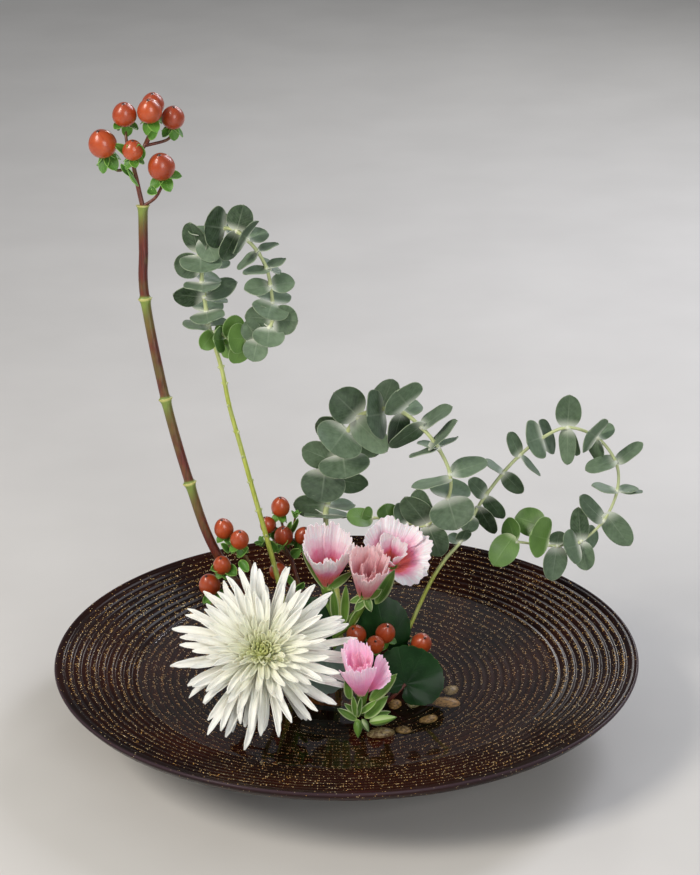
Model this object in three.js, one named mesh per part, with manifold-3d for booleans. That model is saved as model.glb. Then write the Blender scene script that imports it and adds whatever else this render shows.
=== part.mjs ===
// Ikebana arrangement in a wide glass bowl.
//
// A low, flared bowl of dark glass holds shallow water, a few pebbles and a kenzan: a heavy disc set
// with sharp pins. The cut stems are pressed on to the pins: a tall berried hypericum and three
// shorter ones, three eucalyptus sprigs bent into loops, one spider chrysanthemum, two godetia stems
// with four open flowers, and four glossy round leaves on their petioles.
//
// Millimetres, +Z up. The origin is the centre of the bowl's foot, on the table. -Y is the front.

import Module from "manifold-3d";
import * as THREE from "three";
import { mergeVertices } from "three/addons/utils/BufferGeometryUtils.js";

const wasm = await Module();
wasm.setup();

// ---------------------------------------------------------------- driving dimensions

const FIT = 0.3; // gap left between two pieces that touch
const UP = new THREE.Vector3(0, 0, 1);
const FRONT = new THREE.Vector3(0, -0.93, 0.36).normalize(); // the side the arrangement faces

const BOWL = {
  floor: 18, // height of the inside floor above the table
  glass: 5, // thickness of the wall, straight down
  lip: 3, // thickness of the rounded lip
  footRadius: 61,
  footWidth: 8,
  sides: 44,
  // the inside of the wall, [radius, height], from the floor's edge out to the lip
  wall: [[66, 18], [84, 22.6], [108, 30.6], [130, 37.7], [152, 43.2], [170, 47.2], [178.5, 50]],
};

const WATER_LEVEL = 37.6;

const KENZAN = {
  centre: [-6, -8],
  radius: 29,
  height: 6.7,
  ringWidth: 1.7,
  pinHeight: 11,
  pinRadius: 0.8,
  pinPitch: 5.8,
  pinField: 26.5, // radius of the area that carries pins
};

// pebbles on the floor and the foot of the wall: [x, y, length, width, height, turn in degrees,
// how much higher than the floor the glass lets them lie]
const PEBBLES = [
  [60, -34, 18, 12, 8, -20, 1.5],
  [49, -56, 12, 9, 6, 30, 2.5],
  [41, -32, 13, 10, 7, 72, 0],
  [20, -74, 16, 12, 8, 12, 3.1],
  [33.5, -70, 10, 8, 6, -40, 3.3],
  [29, -33.5, 12, 9, 6, 80, 0],
  [47, -17, 12, 9, 7, 10, 0],
  [64, -17, 12, 9, 7, 60, 0.5],
];

// Eucalyptus. `foot` is the bare part of the stem, from the kenzan up. Each row of `pairs` is one
// pair of opposite leaves: the stem's point there, the turn of the pair about the stem from lying
// across the front view (0) to pointing front and back (90), how far the blades lean out of the
// square section of the stem towards the front, and the length and width of a leaf.
const EUCALYPTUS = {
  tall: {
    radius: [2.3, 0.9],
    foot: [[-17, 7, 22], [-25, 8, 42], [-35, 8, 68], [-47, 10, 118], [-56, 12, 154], [-63, 13, 183],
      [-69, 14, 208], [-73, 14, 232]],
    pairs: [
      [-80, 14, 259, 0, 4, 17, 16],
      [-81, 14, 268, 90, 2, 20, 20],
      [-82, 14, 277, 0, 16, 19, 20],
      [-83, 13, 287, 90, 2, 22, 22],
      [-84, 12, 296, 0, 24, 16, 20],
      [-84, 11, 304, 90, 12, 22, 22],
      [-81, 9, 313, 0, 38, 16, 18],
      [-69, 4, 322, 90, 8, 24, 24],
      [-62, -2, 322, 0, 32, 17, 18],
      [-55, -6, 319, 90, 20, 18, 18],
      [-49, -7, 311, 0, 6, 15, 14],
      [-44, -8, 301, 115, -2, 18, 18],
      [-42, -9, 291, 0, -8, 15, 18],
      [-41, -10, 281, 100, -20, 21, 21],
      [-42, -13, 273, 5, -38, 18, 18],
      [-43, -14, 267, 60, -45, 18, 20],
      [-50, -12, 260, 0, -45, 15, 16],
      [-59, -8, 255, 90, -45, 14, 16],
      [-67, -4, 254, 10, -40, 13, 14],
      [-73, 0, 255, 80, -40, 13, 14],
      [-79, 3, 254, 0, -30, 8, 10],
    ],
  },
  middle: {
    radius: [2.3, 1],
    foot: [[-4, 8, 22], [-4, 14, 48], [-5, 22, 75], [-11, 38, 105]],
    pairs: [
      [-12, 42, 122, 90, -8, 26, 27],
      [-11, 43, 130, 5, 22, 20, 20],
      [-8, 46, 146, 80, 24, 28, 30],
      [-3, 46, 159, 0, 14, 22, 22],
      [1, 44, 174, 85, 20, 26, 30],
      [9, 40, 190, 0, 38, 23, 24],
      [22, 32, 199, 95, 4, 22, 30],
      [35, 24, 200, 20, 20, 21, 23],
      [47, 18, 190, 0, 30, 24, 20],
      [56, 14, 180, 15, -4, 20, 12],
      [64, 12, 163, -22, 0, 24, 20],
      [63, 14, 146, 70, -34, 24, 27],
      [51, 22, 126, 0, -45, 22, 22],
      [39, 28, 124, 90, -40, 16, 18],
      [27, 32, 125, 0, -40, 14, 15],
      [17, 34, 125, 90, -30, 11, 12],
    ],
  },
  right: {
    radius: [2.1, 1],
    foot: [[18, -3, 22], [25, -2, 36], [32, 0, 50], [40, 6, 65], [52, 14, 89], [62, 20, 103]],
    pairs: [
      [70, 25, 113, 0, 14, 11, 10],
      [79, 30, 127, 80, 10, 15, 14],
      [87, 34, 139, 0, 24, 17, 13],
      [98, 37, 153, 20, 14, 16, 13],
      [108, 38, 164, 0, 16, 17, 12],
      [121, 38, 175, 85, 12, 22, 25],
      [137, 36, 183, 5, 44, 21, 18],
      [155, 34, 177, 85, 20, 20, 23],
      [167, 32, 161, 0, -12, 16, 14],
      [168, 30, 143, 85, 8, 24, 22],
      [160, 28, 124, 5, -32, 22, 16],
      [146, 26, 111, 20, -38, 21, 17],
      [131, 24, 109, 10, -40, 20, 17],
      [121, 23, 110, 80, -30, 18, 25],
      [105, 20, 113, 50, -42, 22, 18],
    ],
  },
};

// Hypericum. `stem` runs from the kenzan up. Each berry has its centre, its radius, the way its tip
// points, and the points its stalk passes on the way from the stem.
const HYPERICUM = {
  tall: {
    radius: [2.8, 2.2],
    stem: [[-27, -2, 22], [-40, 1, 46], [-58, 4, 80], [-81, 5, 120], [-94, 7, 161], [-107, 11, 214],
      [-118, 18, 275], [-117, 24, 331]],
    collars: [4, 5, 6],
    stalks: [[[-117, 24, 329], [-120, 25, 345], [-121, 24, 357], [-114, 27, 367]]],
    berries: [
      [[-139, 22, 369], 8.3, [-0.25, -0.1, 0.96], [[-121, 24, 356], [-131, 24, 352]]],
      [[-126, 27, 385], 7.1, [0, -0.2, 0.98], [[-121, 24, 357], [-125, 27, 367]]],
      [[-110, 39, 395], 6.7, [0, -0.15, 0.98], [[-115, 27, 366], [-110, 38, 376]]],
      [[-111, 23, 388], 7.2, [-0.05, -0.2, 0.97], [[-114, 27, 366], [-111, 27, 373]]],
      [[-98, 32, 385], 6.8, [0.1, -0.1, 0.98], [[-114, 27, 366], [-102, 32, 368]]],
      [[-121, 16, 368], 6, [0.05, -0.1, 0.99], [[-121, 23, 355], [-121, 19, 357]]],
      [[-105, 18, 356], 8, [-0.1, -0.2, 0.97], [[-117, 24, 330], [-109, 23, 336]]],
    ],
  },
  left: {
    radius: [1.7, 1],
    stem: [[-27, -11, 22], [-34, -9, 46], [-44, -5, 74], [-53, -2, 97], [-61, -2, 116]],
    collars: [3],
    stalks: [],
    berries: [
      [[-74, 4, 132], 5.9, [-0.15, -0.1, 0.98], [[-61, -2, 115], [-69, 1, 119]]],
      [[-64, -6, 129], 5.7, [0.05, -0.2, 0.97], [[-61, -2, 115], [-63, -4, 119]]],
      [[-75, -8, 113], 5.5, [-0.1, -0.25, 0.96], [[-55, -2, 101], [-67, -4, 101]]],
      [[-83, -8, 100], 6.5, [-0.25, -0.1, 0.96], [[-51, -3, 92], [-66, -6, 87], [-77, -8, 88]]],
    ],
  },
  back: {
    radius: [1.7, 1],
    stem: [[-11, 4, 22], [-18, 11, 50], [-27, 19, 78], [-34, 25, 103]],
    collars: [2],
    stalks: [],
    berries: [
      [[-38, 22, 119], 5.8, [-0.05, -0.2, 0.97], [[-34, 25, 102], [-36, 25, 107]]],
      [[-48, 32, 122], 5, [-0.3, 0, 0.95], [[-34, 25, 102], [-43, 31, 110]]],
      [[-40, 37, 132], 5.8, [0, 0, 1], [[-34, 25, 102], [-38, 34, 116]]],
      [[-26, 24, 118], 5.2, [0.3, -0.1, 0.94], [[-34, 25, 102], [-29, 25, 107]]],
      [[-42, 22, 95], 5.5, [-0.3, -0.2, 0.93], [[-28, 20, 80], [-37, 23, 83]]],
    ],
  },
  front: {
    radius: [1.5, 1],
    stem: [[9, -14, 22], [12, -15, 42], [14, -16, 58]],
    collars: [1],
    stalks: [],
    berries: [
      [[6, -22, 72], 6, [-0.3, -0.3, 0.9], [[14, -16, 57], [10, -18, 60]]],
      [[24, -20, 72], 6, [0.2, -0.3, 0.93], [[14, -16, 57], [20, -17, 61]]],
      [[18, -33, 64], 5.5, [0, -0.75, 0.65], [[13, -16, 53], [16, -23, 56]]],
      [[46, -16, 63], 6.3, [0.3, -0.4, 0.87], [[14, -16, 56], [28, -13, 55], [39, -11, 54]]],
    ],
  },
};
const BERRY = { sides: 8, stalkRadius: 0.8, sepal: 0.95, sepalThickness: 0.7 };

const CHRYSANTHEMUM = {
  stem: [[-20, -17, 22], [-27, -28, 42], [-37, -47, 62]],
  stemRadius: 3,
  centre: [-49, -85, 92],
  face: new THREE.Vector3(0, -0.79, 0.61).normalize(),
  core: 11,
  // rings of petals, outside first: [count, length, angle up from the face's plane in degrees]
  rings: [[17, 52, -12], [14, 44, 6], [10, 32, 30]],
  petalWidth: 5.5,
  petalThickness: 1.8,
};

// Godetia flowers: base of the cup, centre of its mouth, mouth radius, and the stalk's points.
const GODETIA = {
  spray: {
    radius: [2.3, 1.9],
    stem: [[-3, -14, 22], [-5, -14, 46], [-7, -14, 71]],
    flowers: {
      left: [[-7, -10, 98], [-8, -16, 131], 17, [[-7, -14, 69], [-8, -11, 82]]],
      middle: [[16, -26, 91], [15, -38, 121], 13, [[-6, -14, 68], [5, -15, 80]]],
      right: [[31, 5, 102], [36, -10, 124], 22, [[-7, -14, 70], [4, 1, 78], [17, 10, 87]]],
    },
  },
  low: {
    radius: [2, 1.8],
    stem: [[6, -26, 22], [7, -46, 40], [8, -70, 46]],
    flowers: {
      front: [[12, -93, 60], [11, -98, 89], 13, [[8, -68, 46], [10, -84, 50]]],
    },
  },
};
const COROLLA = { wall: 1.2, base: 2.6, sides: 12 };
const SEPAL = { length: 17, width: 5, thickness: 1 };

// Round leathery leaves: foot on the kenzan, middle of the petiole, base of the blade, the way the
// blade runs, the way it faces, length and width.
const ROUND_LEAVES = [
  [[17, -13, 22], [26, -22, 46], [40, -28, 64], [0.2, -0.6, -0.7], [0.09, -0.76, 0.64], 34, 42],
  [[5, -3, 22], [16, -6, 40], [27, -8, 56], [-0.25, 0.2, 0.95], [-0.05, -0.97, 0.2], 36, 34],
  [[-12, -22, 22], [-12, -30, 46], [-11, -37, 64], [-0.3, -0.45, -0.5], [-0.2, -0.7, 0.65], 24, 26],
  [[-9, -2, 22], [-13, -4, 46], [-17, -5, 66], [-0.2, 0.1, 0.95], [-0.1, -0.95, 0.2], 22, 20],
];
const ROUND_LEAF = { petiole: 1.3, thickness: 1 };
const LEAF = { thickness: 0.9, waist: 0.7 };

const COLOUR = {
  glass: 0x3a1c12,
  water: 0x2a2430,
  brass: 0xa8743a,
  rubber: 0x1f2022,
  pebble: 0x8a6a40,
  bark: 0x6b2f1c,
  twig: 0x6b4a2a,
  berry: 0xc8401f,
  eucalyptus: 0x71877a,
  greenStem: 0x7d9440,
  cream: 0xefeddf,
  pink: 0xf2a9bd,
  leaf: 0x24432c,
};

// ---------------------------------------------------------------- solids and geometries

const vector = (point) => new THREE.Vector3(...point);

// A closed geometry as a solid that can be joined and cut.
function solidOf(geometry) {
  const bare = geometry.clone();
  bare.deleteAttribute("normal");
  bare.deleteAttribute("uv");
  const merged = mergeVertices(bare, 1e-4);
  return new wasm.Manifold(
    new wasm.Mesh({
      numProp: 3,
      vertProperties: new Float32Array(merged.getAttribute("position").array),
      triVerts: new Uint32Array(merged.getIndex().array),
    }),
  );
}

function geometryOf(solid) {
  const mesh = solid.getMesh();
  const geometry = new THREE.BufferGeometry();
  geometry.setAttribute("position", new THREE.BufferAttribute(mesh.vertProperties, 3));
  geometry.setIndex(new THREE.BufferAttribute(mesh.triVerts, 1));
  geometry.computeVertexNormals();
  return geometry;
}

function joined(solids) {
  return solids.reduce((whole, next) => whole.add(next));
}

// Turns a geometry's own +Y to `axis`, then moves it to `point`.
function standing(geometry, point, axis) {
  const up = new THREE.Vector3(0, 1, 0);
  const turn = new THREE.Quaternion().setFromUnitVectors(up, axis.clone().normalize());
  return geometry.applyQuaternion(turn).translate(point.x, point.y, point.z);
}

// A lathe about +Z from [radius, height] points, wound so that its faces point out.
function turned(profile, sides) {
  const points = profile.map(([radius, height]) => new THREE.Vector2(radius, height));
  return new THREE.LatheGeometry(points, sides).rotateX(Math.PI / 2);
}

// A round rod that follows smooth curve through `points` and tapers from one end to the other.
function rod(points, startRadius, endRadius, sides = 6, stepLength = 13) {
  const curve = new THREE.CatmullRomCurve3(points.map(vector), false, "catmullrom", 0.5);
  const steps = Math.max(2, Math.round(curve.getLength() / stepLength));
  const frames = curve.computeFrenetFrames(steps, false);
  const geometry = new THREE.CylinderGeometry(1, 1, 1, sides, steps);
  const position = geometry.getAttribute("position");
  for (let i = 0; i < position.count; i += 1) {
    const along = position.getY(i) + 0.5;
    const step = Math.round(along * steps);
    const radius = THREE.MathUtils.lerp(startRadius, endRadius, along);
    const point = curve
      .getPointAt(along)
      .addScaledVector(frames.normals[step], position.getX(i) * radius)
      .addScaledVector(frames.binormals[step], -position.getZ(i) * radius);
    position.setXYZ(i, point.x, point.y, point.z);
  }
  return solidOf(geometry);
}

// A flat blade in the shape of `outline`, which starts at its base and runs along +X.
function blade(outline, thickness, base, axis, normal) {
  const along = axis.clone().normalize();
  const across = new THREE.Vector3().crossVectors(normal, along).normalize();
  const facing = new THREE.Vector3().crossVectors(along, across);
  const geometry = new THREE.ExtrudeGeometry(outline, {
    depth: thickness,
    bevelEnabled: false,
    curveSegments: 4,
  });
  geometry.translate(0, 0, -thickness / 2);
  geometry.applyMatrix4(new THREE.Matrix4().makeBasis(along, across, facing).setPosition(base));
  return solidOf(geometry);
}

// Two rounded leaves, base to base, with a narrow waist where the stem passes through.
function pairOutline(length, width) {
  const side = [[1, 0], [0.72, 0.44], [0.27, 0.48]];
  const quarters = [
    ...side,
    [0, LEAF.waist / width],
    ...side.map(([x, y]) => [-x, y]).reverse(),
    ...side.slice(1).map(([x, y]) => [-x, -y]),
    [0, -LEAF.waist / width],
    ...side.slice(1).map(([x, y]) => [x, -y]).reverse(),
  ];
  return new THREE.Shape(quarters.map(([x, y]) => new THREE.Vector2(x * length, y * width)));
}

function lanceOutline(length, width) {
  const outline = new THREE.Shape().moveTo(0, -width / 5);
  outline.lineTo(length * 0.4, -width / 2);
  outline.lineTo(length, 0);
  outline.lineTo(length * 0.4, width / 2);
  outline.lineTo(0, width / 5);
  return outline;
}

// A broad, nearly round blade with a notch where its petiole joins.
function heartOutline(length, width) {
  const outline = new THREE.Shape().moveTo(0, 0);
  outline.lineTo(-length * 0.12, -width * 0.22);
  outline.quadraticCurveTo(length * 0.1, -width * 0.56, length * 0.55, -width * 0.46);
  outline.quadraticCurveTo(length, -width * 0.3, length, 0);
  outline.quadraticCurveTo(length, width * 0.3, length * 0.55, width * 0.46);
  outline.quadraticCurveTo(length * 0.1, width * 0.56, -length * 0.12, width * 0.22);
  return outline;
}

// ---------------------------------------------------------------- holder

function bowlSolid() {
  const { wall, glass, lip, floor, footRadius, footWidth, sides } = BOWL;
  const spline = new THREE.SplineCurve(wall.map((point) => new THREE.Vector2(...point)));
  const inside = spline.getPoints(6).map((point) => [point.x, point.y]);
  const outside = inside.slice(1, -1).map(([radius, height]) => [radius + 1.2, height - glass]);
  const [lipRadius, lipHeight] = inside.at(-1);
  const profile = [
    [0, floor],
    ...inside,
    [lipRadius + lip * 0.5, lipHeight - lip * 0.35],
    [lipRadius + lip * 0.3, lipHeight - lip],
    ...outside.reverse(),
    [footRadius + 2, floor - glass],
    [footRadius, 0],
    [footRadius - footWidth, 0],
    [footRadius - footWidth - 1, floor - glass - 1],
    [0, floor - glass - 1],
  ];
  return solidOf(turned(profile.reverse(), sides));
}

// Where the kenzan's pins stand: rows set half a pitch off from one another, within a circle.
function pinPlaces() {
  const { centre, pinPitch, pinField } = KENZAN;
  const row = pinPitch * Math.sin(Math.PI / 3);
  const reach = Math.ceil(pinField / row);
  const places = [];
  for (let j = -reach; j <= reach; j += 1) {
    for (let i = -reach; i <= reach; i += 1) {
      const x = (i + (j % 2 ? 0.5 : 0)) * pinPitch;
      if (Math.hypot(x, j * row) > pinField) continue;
      places.push([centre[0] + x, centre[1] + j * row]);
    }
  }
  return places;
}

// The kenzan's disc and pins; `grown` makes it that much bigger all round, for cutting others.
function kenzanSolid(grown = 0) {
  const { centre, radius, height, pinHeight, pinRadius } = KENZAN;
  const foot = BOWL.floor + FIT - grown;
  const top = BOWL.floor + FIT + height + grown;
  const disc = new THREE.CylinderGeometry(radius + grown, radius + grown, top - foot, 40);
  const middle = new THREE.Vector3(...centre, (top + foot) / 2);
  const length = pinHeight + 1 + grown * 4;
  const pins = pinPlaces().map(([x, y]) => {
    const pin = new THREE.ConeGeometry(pinRadius + grown, length, 4);
    const place = new THREE.Vector3(x, y, top - 1 + length / 2 - grown);
    return solidOf(standing(pin, place, UP));
  });
  return joined([solidOf(standing(disc, middle, UP)), ...pins]);
}

function rubberRingSolid() {
  const { centre, radius, height, ringWidth } = KENZAN;
  const inner = radius + FIT;
  const outer = inner + ringWidth;
  const foot = BOWL.floor + FIT;
  const top = foot + height - 1;
  const section = [[inner, foot], [outer, foot], [outer, top], [inner, top], [inner, foot]];
  return solidOf(turned(section, 40).translate(...centre, 0));
}

// A flattened pebble that lies on the floor or the foot of the wall.
function pebbleSolid([x, y, length, width, height, turn, lift]) {
  const stone = new THREE.IcosahedronGeometry(1, 1).scale(length / 2, width / 2, height / 2);
  stone.rotateZ(THREE.MathUtils.degToRad(turn));
  return solidOf(stone.translate(x, y, BOWL.floor + FIT + lift + height / 2));
}

// The upright room that a pebble takes in the water, from below the floor to just over its top.
function pebbleRoom([x, y, length, width, height, turn, lift]) {
  const room = new THREE.CylinderGeometry(1, 1, 1, 12).rotateX(Math.PI / 2);
  room.scale(length / 2 + FIT, width / 2 + FIT, height + lift + 2);
  room.rotateZ(THREE.MathUtils.degToRad(turn));
  return solidOf(room.translate(x, y, BOWL.floor + FIT * 2 + (height + lift) / 2 - 1));
}

// The water fills the bowl up to its level and leaves room for everything that stands in it.
function waterSolid(standingPieces) {
  const { wall, floor, sides } = BOWL;
  const spline = new THREE.SplineCurve(wall.map((point) => new THREE.Vector2(...point)));
  const lift = FIT * 1.15;
  const under = spline.getPoints(6).map((point) => [point.x, point.y + lift]);
  const wet = under.filter(([, height]) => height < WATER_LEVEL - 1);
  const shore = wall.find(([, height]) => height > WATER_LEVEL)[0] - 2;
  const profile = [[0, floor + lift], ...wet, [shore, WATER_LEVEL], [0, WATER_LEVEL]];
  const { centre, radius, height, ringWidth, pinHeight } = KENZAN;
  const holderHeight = height + pinHeight + 2 * FIT;
  const holderRadius = radius + ringWidth + 2 * FIT;
  const holder = new THREE.CylinderGeometry(holderRadius, holderRadius, holderHeight, 40);
  const holderMiddle = new THREE.Vector3(...centre, floor + holderHeight / 2);
  const room = solidOf(standing(holder, holderMiddle, UP));
  const pebbles = PEBBLES.map(pebbleRoom);
  return solidOf(turned(profile, sides)).subtract(joined([room, ...pebbles, ...standingPieces]));
}

// ---------------------------------------------------------------- plants

const pinsGrown = kenzanSolid(FIT);

// Every stem that stands in the water, a little thicker, for the room it takes there.
const wetStems = [];

// A cut stem pressed on to the kenzan: it ends just above the disc and the pins pierce it.
function pinned(solid) {
  return solid.subtract(pinsGrown);
}

// A stem that stands straight up on the pin nearest to its foot, then goes its own way.
function footStem([foot, ...rest], startRadius, endRadius, sides = 6) {
  const away = ([x, y]) => Math.hypot(x - foot[0], y - foot[1]);
  const [pin] = pinPlaces().sort((one, other) => away(one) - away(other));
  const pinTop = BOWL.floor + KENZAN.height + KENZAN.pinHeight;
  const points = [[...pin, foot[2]], [...pin, pinTop], ...rest];
  wetStems.push(rod(points, startRadius + FIT, endRadius + FIT, sides));
  return rod(points, startRadius, endRadius, sides);
}

// Two opposite leaves at a point of a stem that runs along `tangent`.
function leafPair(point, tangent, [turn, lean, length, width]) {
  const turnAngle = THREE.MathUtils.degToRad(turn);
  const leanAngle = THREE.MathUtils.degToRad(lean);
  const across = new THREE.Vector3().crossVectors(FRONT, tangent).normalize();
  const toward = new THREE.Vector3().crossVectors(tangent, across);
  const normal = tangent.clone().multiplyScalar(Math.cos(leanAngle));
  normal.addScaledVector(toward, Math.sin(leanAngle));
  const fore = toward.multiplyScalar(Math.cos(leanAngle));
  fore.addScaledVector(tangent, -Math.sin(leanAngle));
  const axis = across.multiplyScalar(Math.cos(turnAngle));
  axis.addScaledVector(fore, Math.sin(turnAngle));
  return blade(pairOutline(length, width), LEAF.thickness, point, axis, normal);
}

function eucalyptusSolid({ radius, foot, pairs }) {
  const points = [...foot, ...pairs.map((row) => row.slice(0, 3))];
  const leaves = pairs.map((row, index) => {
    const here = foot.length + index;
    const before = vector(points[here - 1]);
    const after = vector(points[Math.min(here + 1, points.length - 1)]);
    const tangent = after.sub(before).normalize();
    return leafPair(vector(points[here]), tangent, row.slice(3));
  });
  return pinned(joined([footStem(points, ...radius, 5), ...leaves]));
}

// A berry with its tip along `axis`, standing on its calyx.
function berrySolid([centre, radius, axis]) {
  const outline = [[0, -1], [0.66, -0.78], [1, -0.15], [0.88, 0.5], [0.4, 0.95], [0, 1.1]];
  const points = outline.map(([across, up]) => new THREE.Vector2(across * radius, up * radius));
  return solidOf(standing(new THREE.LatheGeometry(points, BERRY.sides), vector(centre), vector(axis)));
}

// Five blunt sepals round the end of a berry's stalk.
function calyxSolid(base, axis, reach) {
  const star = new THREE.Shape();
  for (let corner = 0; corner < 10; corner += 1) {
    const away = corner % 2 ? reach * 0.35 : reach;
    const angle = (corner * Math.PI) / 5;
    const x = away * Math.cos(angle);
    const y = away * Math.sin(angle);
    if (corner) star.lineTo(x, y);
    else star.moveTo(x, y);
  }
  const flat = new THREE.ExtrudeGeometry(star, { depth: BERRY.sepalThickness, bevelEnabled: false });
  flat.rotateX(-Math.PI / 2).translate(0, -BERRY.sepalThickness, 0);
  return solidOf(standing(flat, base, axis));
}

function hypericumStem({ radius, stem, collars, stalks, berries }) {
  const parts = [footStem(stem, ...radius)];
  for (const index of collars) {
    const along = vector(stem[index + 1]).sub(vector(stem[index - 1]));
    const wide = radius[0] * 1.25;
    const collar = new THREE.CylinderGeometry(wide, wide, 2.4, 8);
    parts.push(solidOf(standing(collar, vector(stem[index]), along)));
  }
  for (const stalk of stalks) parts.push(rod(stalk, radius[1] * 0.7, radius[1] * 0.5, 5));
  for (const [centre, size, way, route] of berries) {
    const axis = vector(way).normalize();
    const base = vector(centre).addScaledVector(axis, -(size + FIT));
    const below = base.clone().addScaledVector(axis, -4);
    const path = [...route, below.toArray(), base.toArray()];
    parts.push(rod(path, BERRY.stalkRadius, BERRY.stalkRadius, 4, 8));
    parts.push(calyxSolid(base, axis, size * BERRY.sepal));
  }
  return pinned(joined(parts));
}

function chrysanthemumStem() {
  const { stem, stemRadius, centre, face, core } = CHRYSANTHEMUM;
  const seat = vector(centre).addScaledVector(face, -(core + FIT));
  const neck = seat.clone().addScaledVector(face, -9);
  const points = [...stem, neck.toArray(), seat.toArray()];
  const cup = new THREE.CylinderGeometry(core * 0.6, stemRadius, 5, 10).translate(0, -2.5, 0);
  const receptacle = solidOf(standing(cup, seat, face));
  const green = joined([footStem(points, stemRadius, stemRadius * 0.9, 8), receptacle]);
  return pinned(green);
}

// The flower head: a round core with rings of long pointed petals.
function chrysanthemumHead() {
  const { centre, face, core, rings, petalWidth, petalThickness } = CHRYSANTHEMUM;
  const middle = vector(centre);
  const sideways = new THREE.Vector3(1, 0, 0);
  const upward = new THREE.Vector3().crossVectors(face, sideways);
  const ball = new THREE.SphereGeometry(core, 14, 8);
  const parts = [solidOf(ball.translate(...centre))];
  rings.forEach(([count, length, rise], ring) => {
    const lift = THREE.MathUtils.degToRad(rise);
    const outline = [[0, core * 0.4], [0.3, core * 0.4], [0.5, length * 0.6], [0, length]];
    for (let i = 0; i < count; i += 1) {
      const angle = ((i + ring * 0.5) * 2 * Math.PI) / count;
      const outward = sideways.clone().multiplyScalar(Math.cos(angle));
      outward.addScaledVector(upward, Math.sin(angle));
      const along = outward.clone().multiplyScalar(Math.cos(lift));
      along.addScaledVector(face, Math.sin(lift));
      const points = outline.map(([across, up]) => new THREE.Vector2(across, up));
      const petal = new THREE.LatheGeometry(points, 4).scale(petalWidth, 1, petalThickness);
      const across = new THREE.Vector3().crossVectors(along, face).normalize();
      const through = new THREE.Vector3().crossVectors(across, along);
      petal.applyMatrix4(new THREE.Matrix4().makeBasis(across, along, through).setPosition(middle));
      parts.push(solidOf(petal));
    }
  });
  return joined(parts);
}

// A stem that branches to the bases of its flowers, with a calyx of four sepals under each.
function godetiaStem({ radius, stem, flowers }) {
  const parts = [footStem(stem, ...radius)];
  for (const [baseAt, mouthAt, , route] of Object.values(flowers)) {
    const base = vector(baseAt);
    const axis = vector(mouthAt).sub(base).normalize();
    const seat = base.clone().addScaledVector(axis, -FIT);
    const below = seat.clone().addScaledVector(axis, -8);
    parts.push(rod([...route, below.toArray(), seat.toArray()], 1.6, 1.9));
    const outline = lanceOutline(SEPAL.length, SEPAL.width);
    const sideways = new THREE.Vector3().crossVectors(axis, FRONT).normalize();
    for (let i = 0; i < 4; i += 1) {
      const outward = sideways.clone().applyAxisAngle(axis, ((i + 0.5) * Math.PI) / 2);
      const way = outward.clone().addScaledVector(axis, -0.35);
      const root = seat.clone().addScaledVector(axis, -2);
      parts.push(blade(outline, SEPAL.thickness, root, way, axis));
    }
  }
  return pinned(joined(parts));
}

// A cup of thin petals, open at its mouth.
function corollaSolid([baseAt, mouthAt, mouthRadius]) {
  const base = vector(baseAt);
  const axis = vector(mouthAt).sub(base);
  const depth = axis.length();
  const shape = [[0.02, COROLLA.base], [0.25, mouthRadius * 0.42], [0.6, mouthRadius * 0.74], [1, mouthRadius]];
  const outside = [[0, COROLLA.base - 0.4], ...shape].map(([up, r]) => new THREE.Vector2(r, up * depth));
  const inside = shape.map(([up, r]) => new THREE.Vector2(r - COROLLA.wall, up * depth + 0.8));
  const floorPoint = new THREE.Vector2(0, inside[0].y + 1);
  const profile = [new THREE.Vector2(0, 0), ...outside, ...inside.reverse(), floorPoint];
  return solidOf(standing(new THREE.LatheGeometry(profile, COROLLA.sides), base, axis));
}

function roundLeafSolid([foot, middle, base, way, facing, length, width]) {
  const petiole = footStem([foot, middle, base], ROUND_LEAF.petiole, ROUND_LEAF.petiole);
  const root = vector(base).addScaledVector(vector(way).normalize(), -1);
  const outline = heartOutline(length, width);
  const sheet = blade(outline, ROUND_LEAF.thickness, root, vector(way), vector(facing));
  return pinned(petiole.add(sheet));
}

// ---------------------------------------------------------------- assembly

const arrangement = new THREE.Group();

function add(name, solid, color, roughness, metalness = 0, opacity = 1) {
  const material = new THREE.MeshStandardMaterial({ color, roughness, metalness, opacity });
  material.transparent = opacity < 1;
  const mesh = new THREE.Mesh(geometryOf(solid), material);
  mesh.name = name;
  arrangement.add(mesh);
}

add("bowl", bowlSolid(), COLOUR.glass, 0.1, 0, 0.6);
add("kenzan", kenzanSolid(), COLOUR.brass, 0.4, 1);
add("kenzan_rubber_ring", rubberRingSolid(), COLOUR.rubber, 0.8);
PEBBLES.forEach((pebble, index) => {
  add(`pebble_${index + 1}`, pebbleSolid(pebble), COLOUR.pebble, 0.4);
});

for (const [place, sprig] of Object.entries(HYPERICUM)) {
  add(`hypericum_${place}_stem`, hypericumStem(sprig), COLOUR.bark, 0.5);
  sprig.berries.forEach((berry, index) => {
    add(`hypericum_${place}_berry_${index + 1}`, berrySolid(berry), COLOUR.berry, 0.25);
  });
}

for (const [place, sprig] of Object.entries(EUCALYPTUS)) {
  add(`eucalyptus_${place}_sprig`, eucalyptusSolid(sprig), COLOUR.eucalyptus, 0.6);
}

add("chrysanthemum_stem", chrysanthemumStem(), COLOUR.greenStem, 0.6);
add("chrysanthemum_head", chrysanthemumHead(), COLOUR.cream, 0.6);

for (const [place, spray] of Object.entries(GODETIA)) {
  add(`godetia_${place}_stem`, godetiaStem(spray), COLOUR.greenStem, 0.6);
  for (const [flower, sizes] of Object.entries(spray.flowers)) {
    add(`godetia_${flower}_corolla`, corollaSolid(sizes), COLOUR.pink, 0.6);
  }
}

ROUND_LEAVES.forEach((leaf, index) => {
  add(`round_leaf_${index + 1}`, roundLeafSolid(leaf), COLOUR.leaf, 0.4);
});

add("water", waterSolid(wetStems), COLOUR.water, 0.05, 0, 0.5);

export default arrangement;
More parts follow.
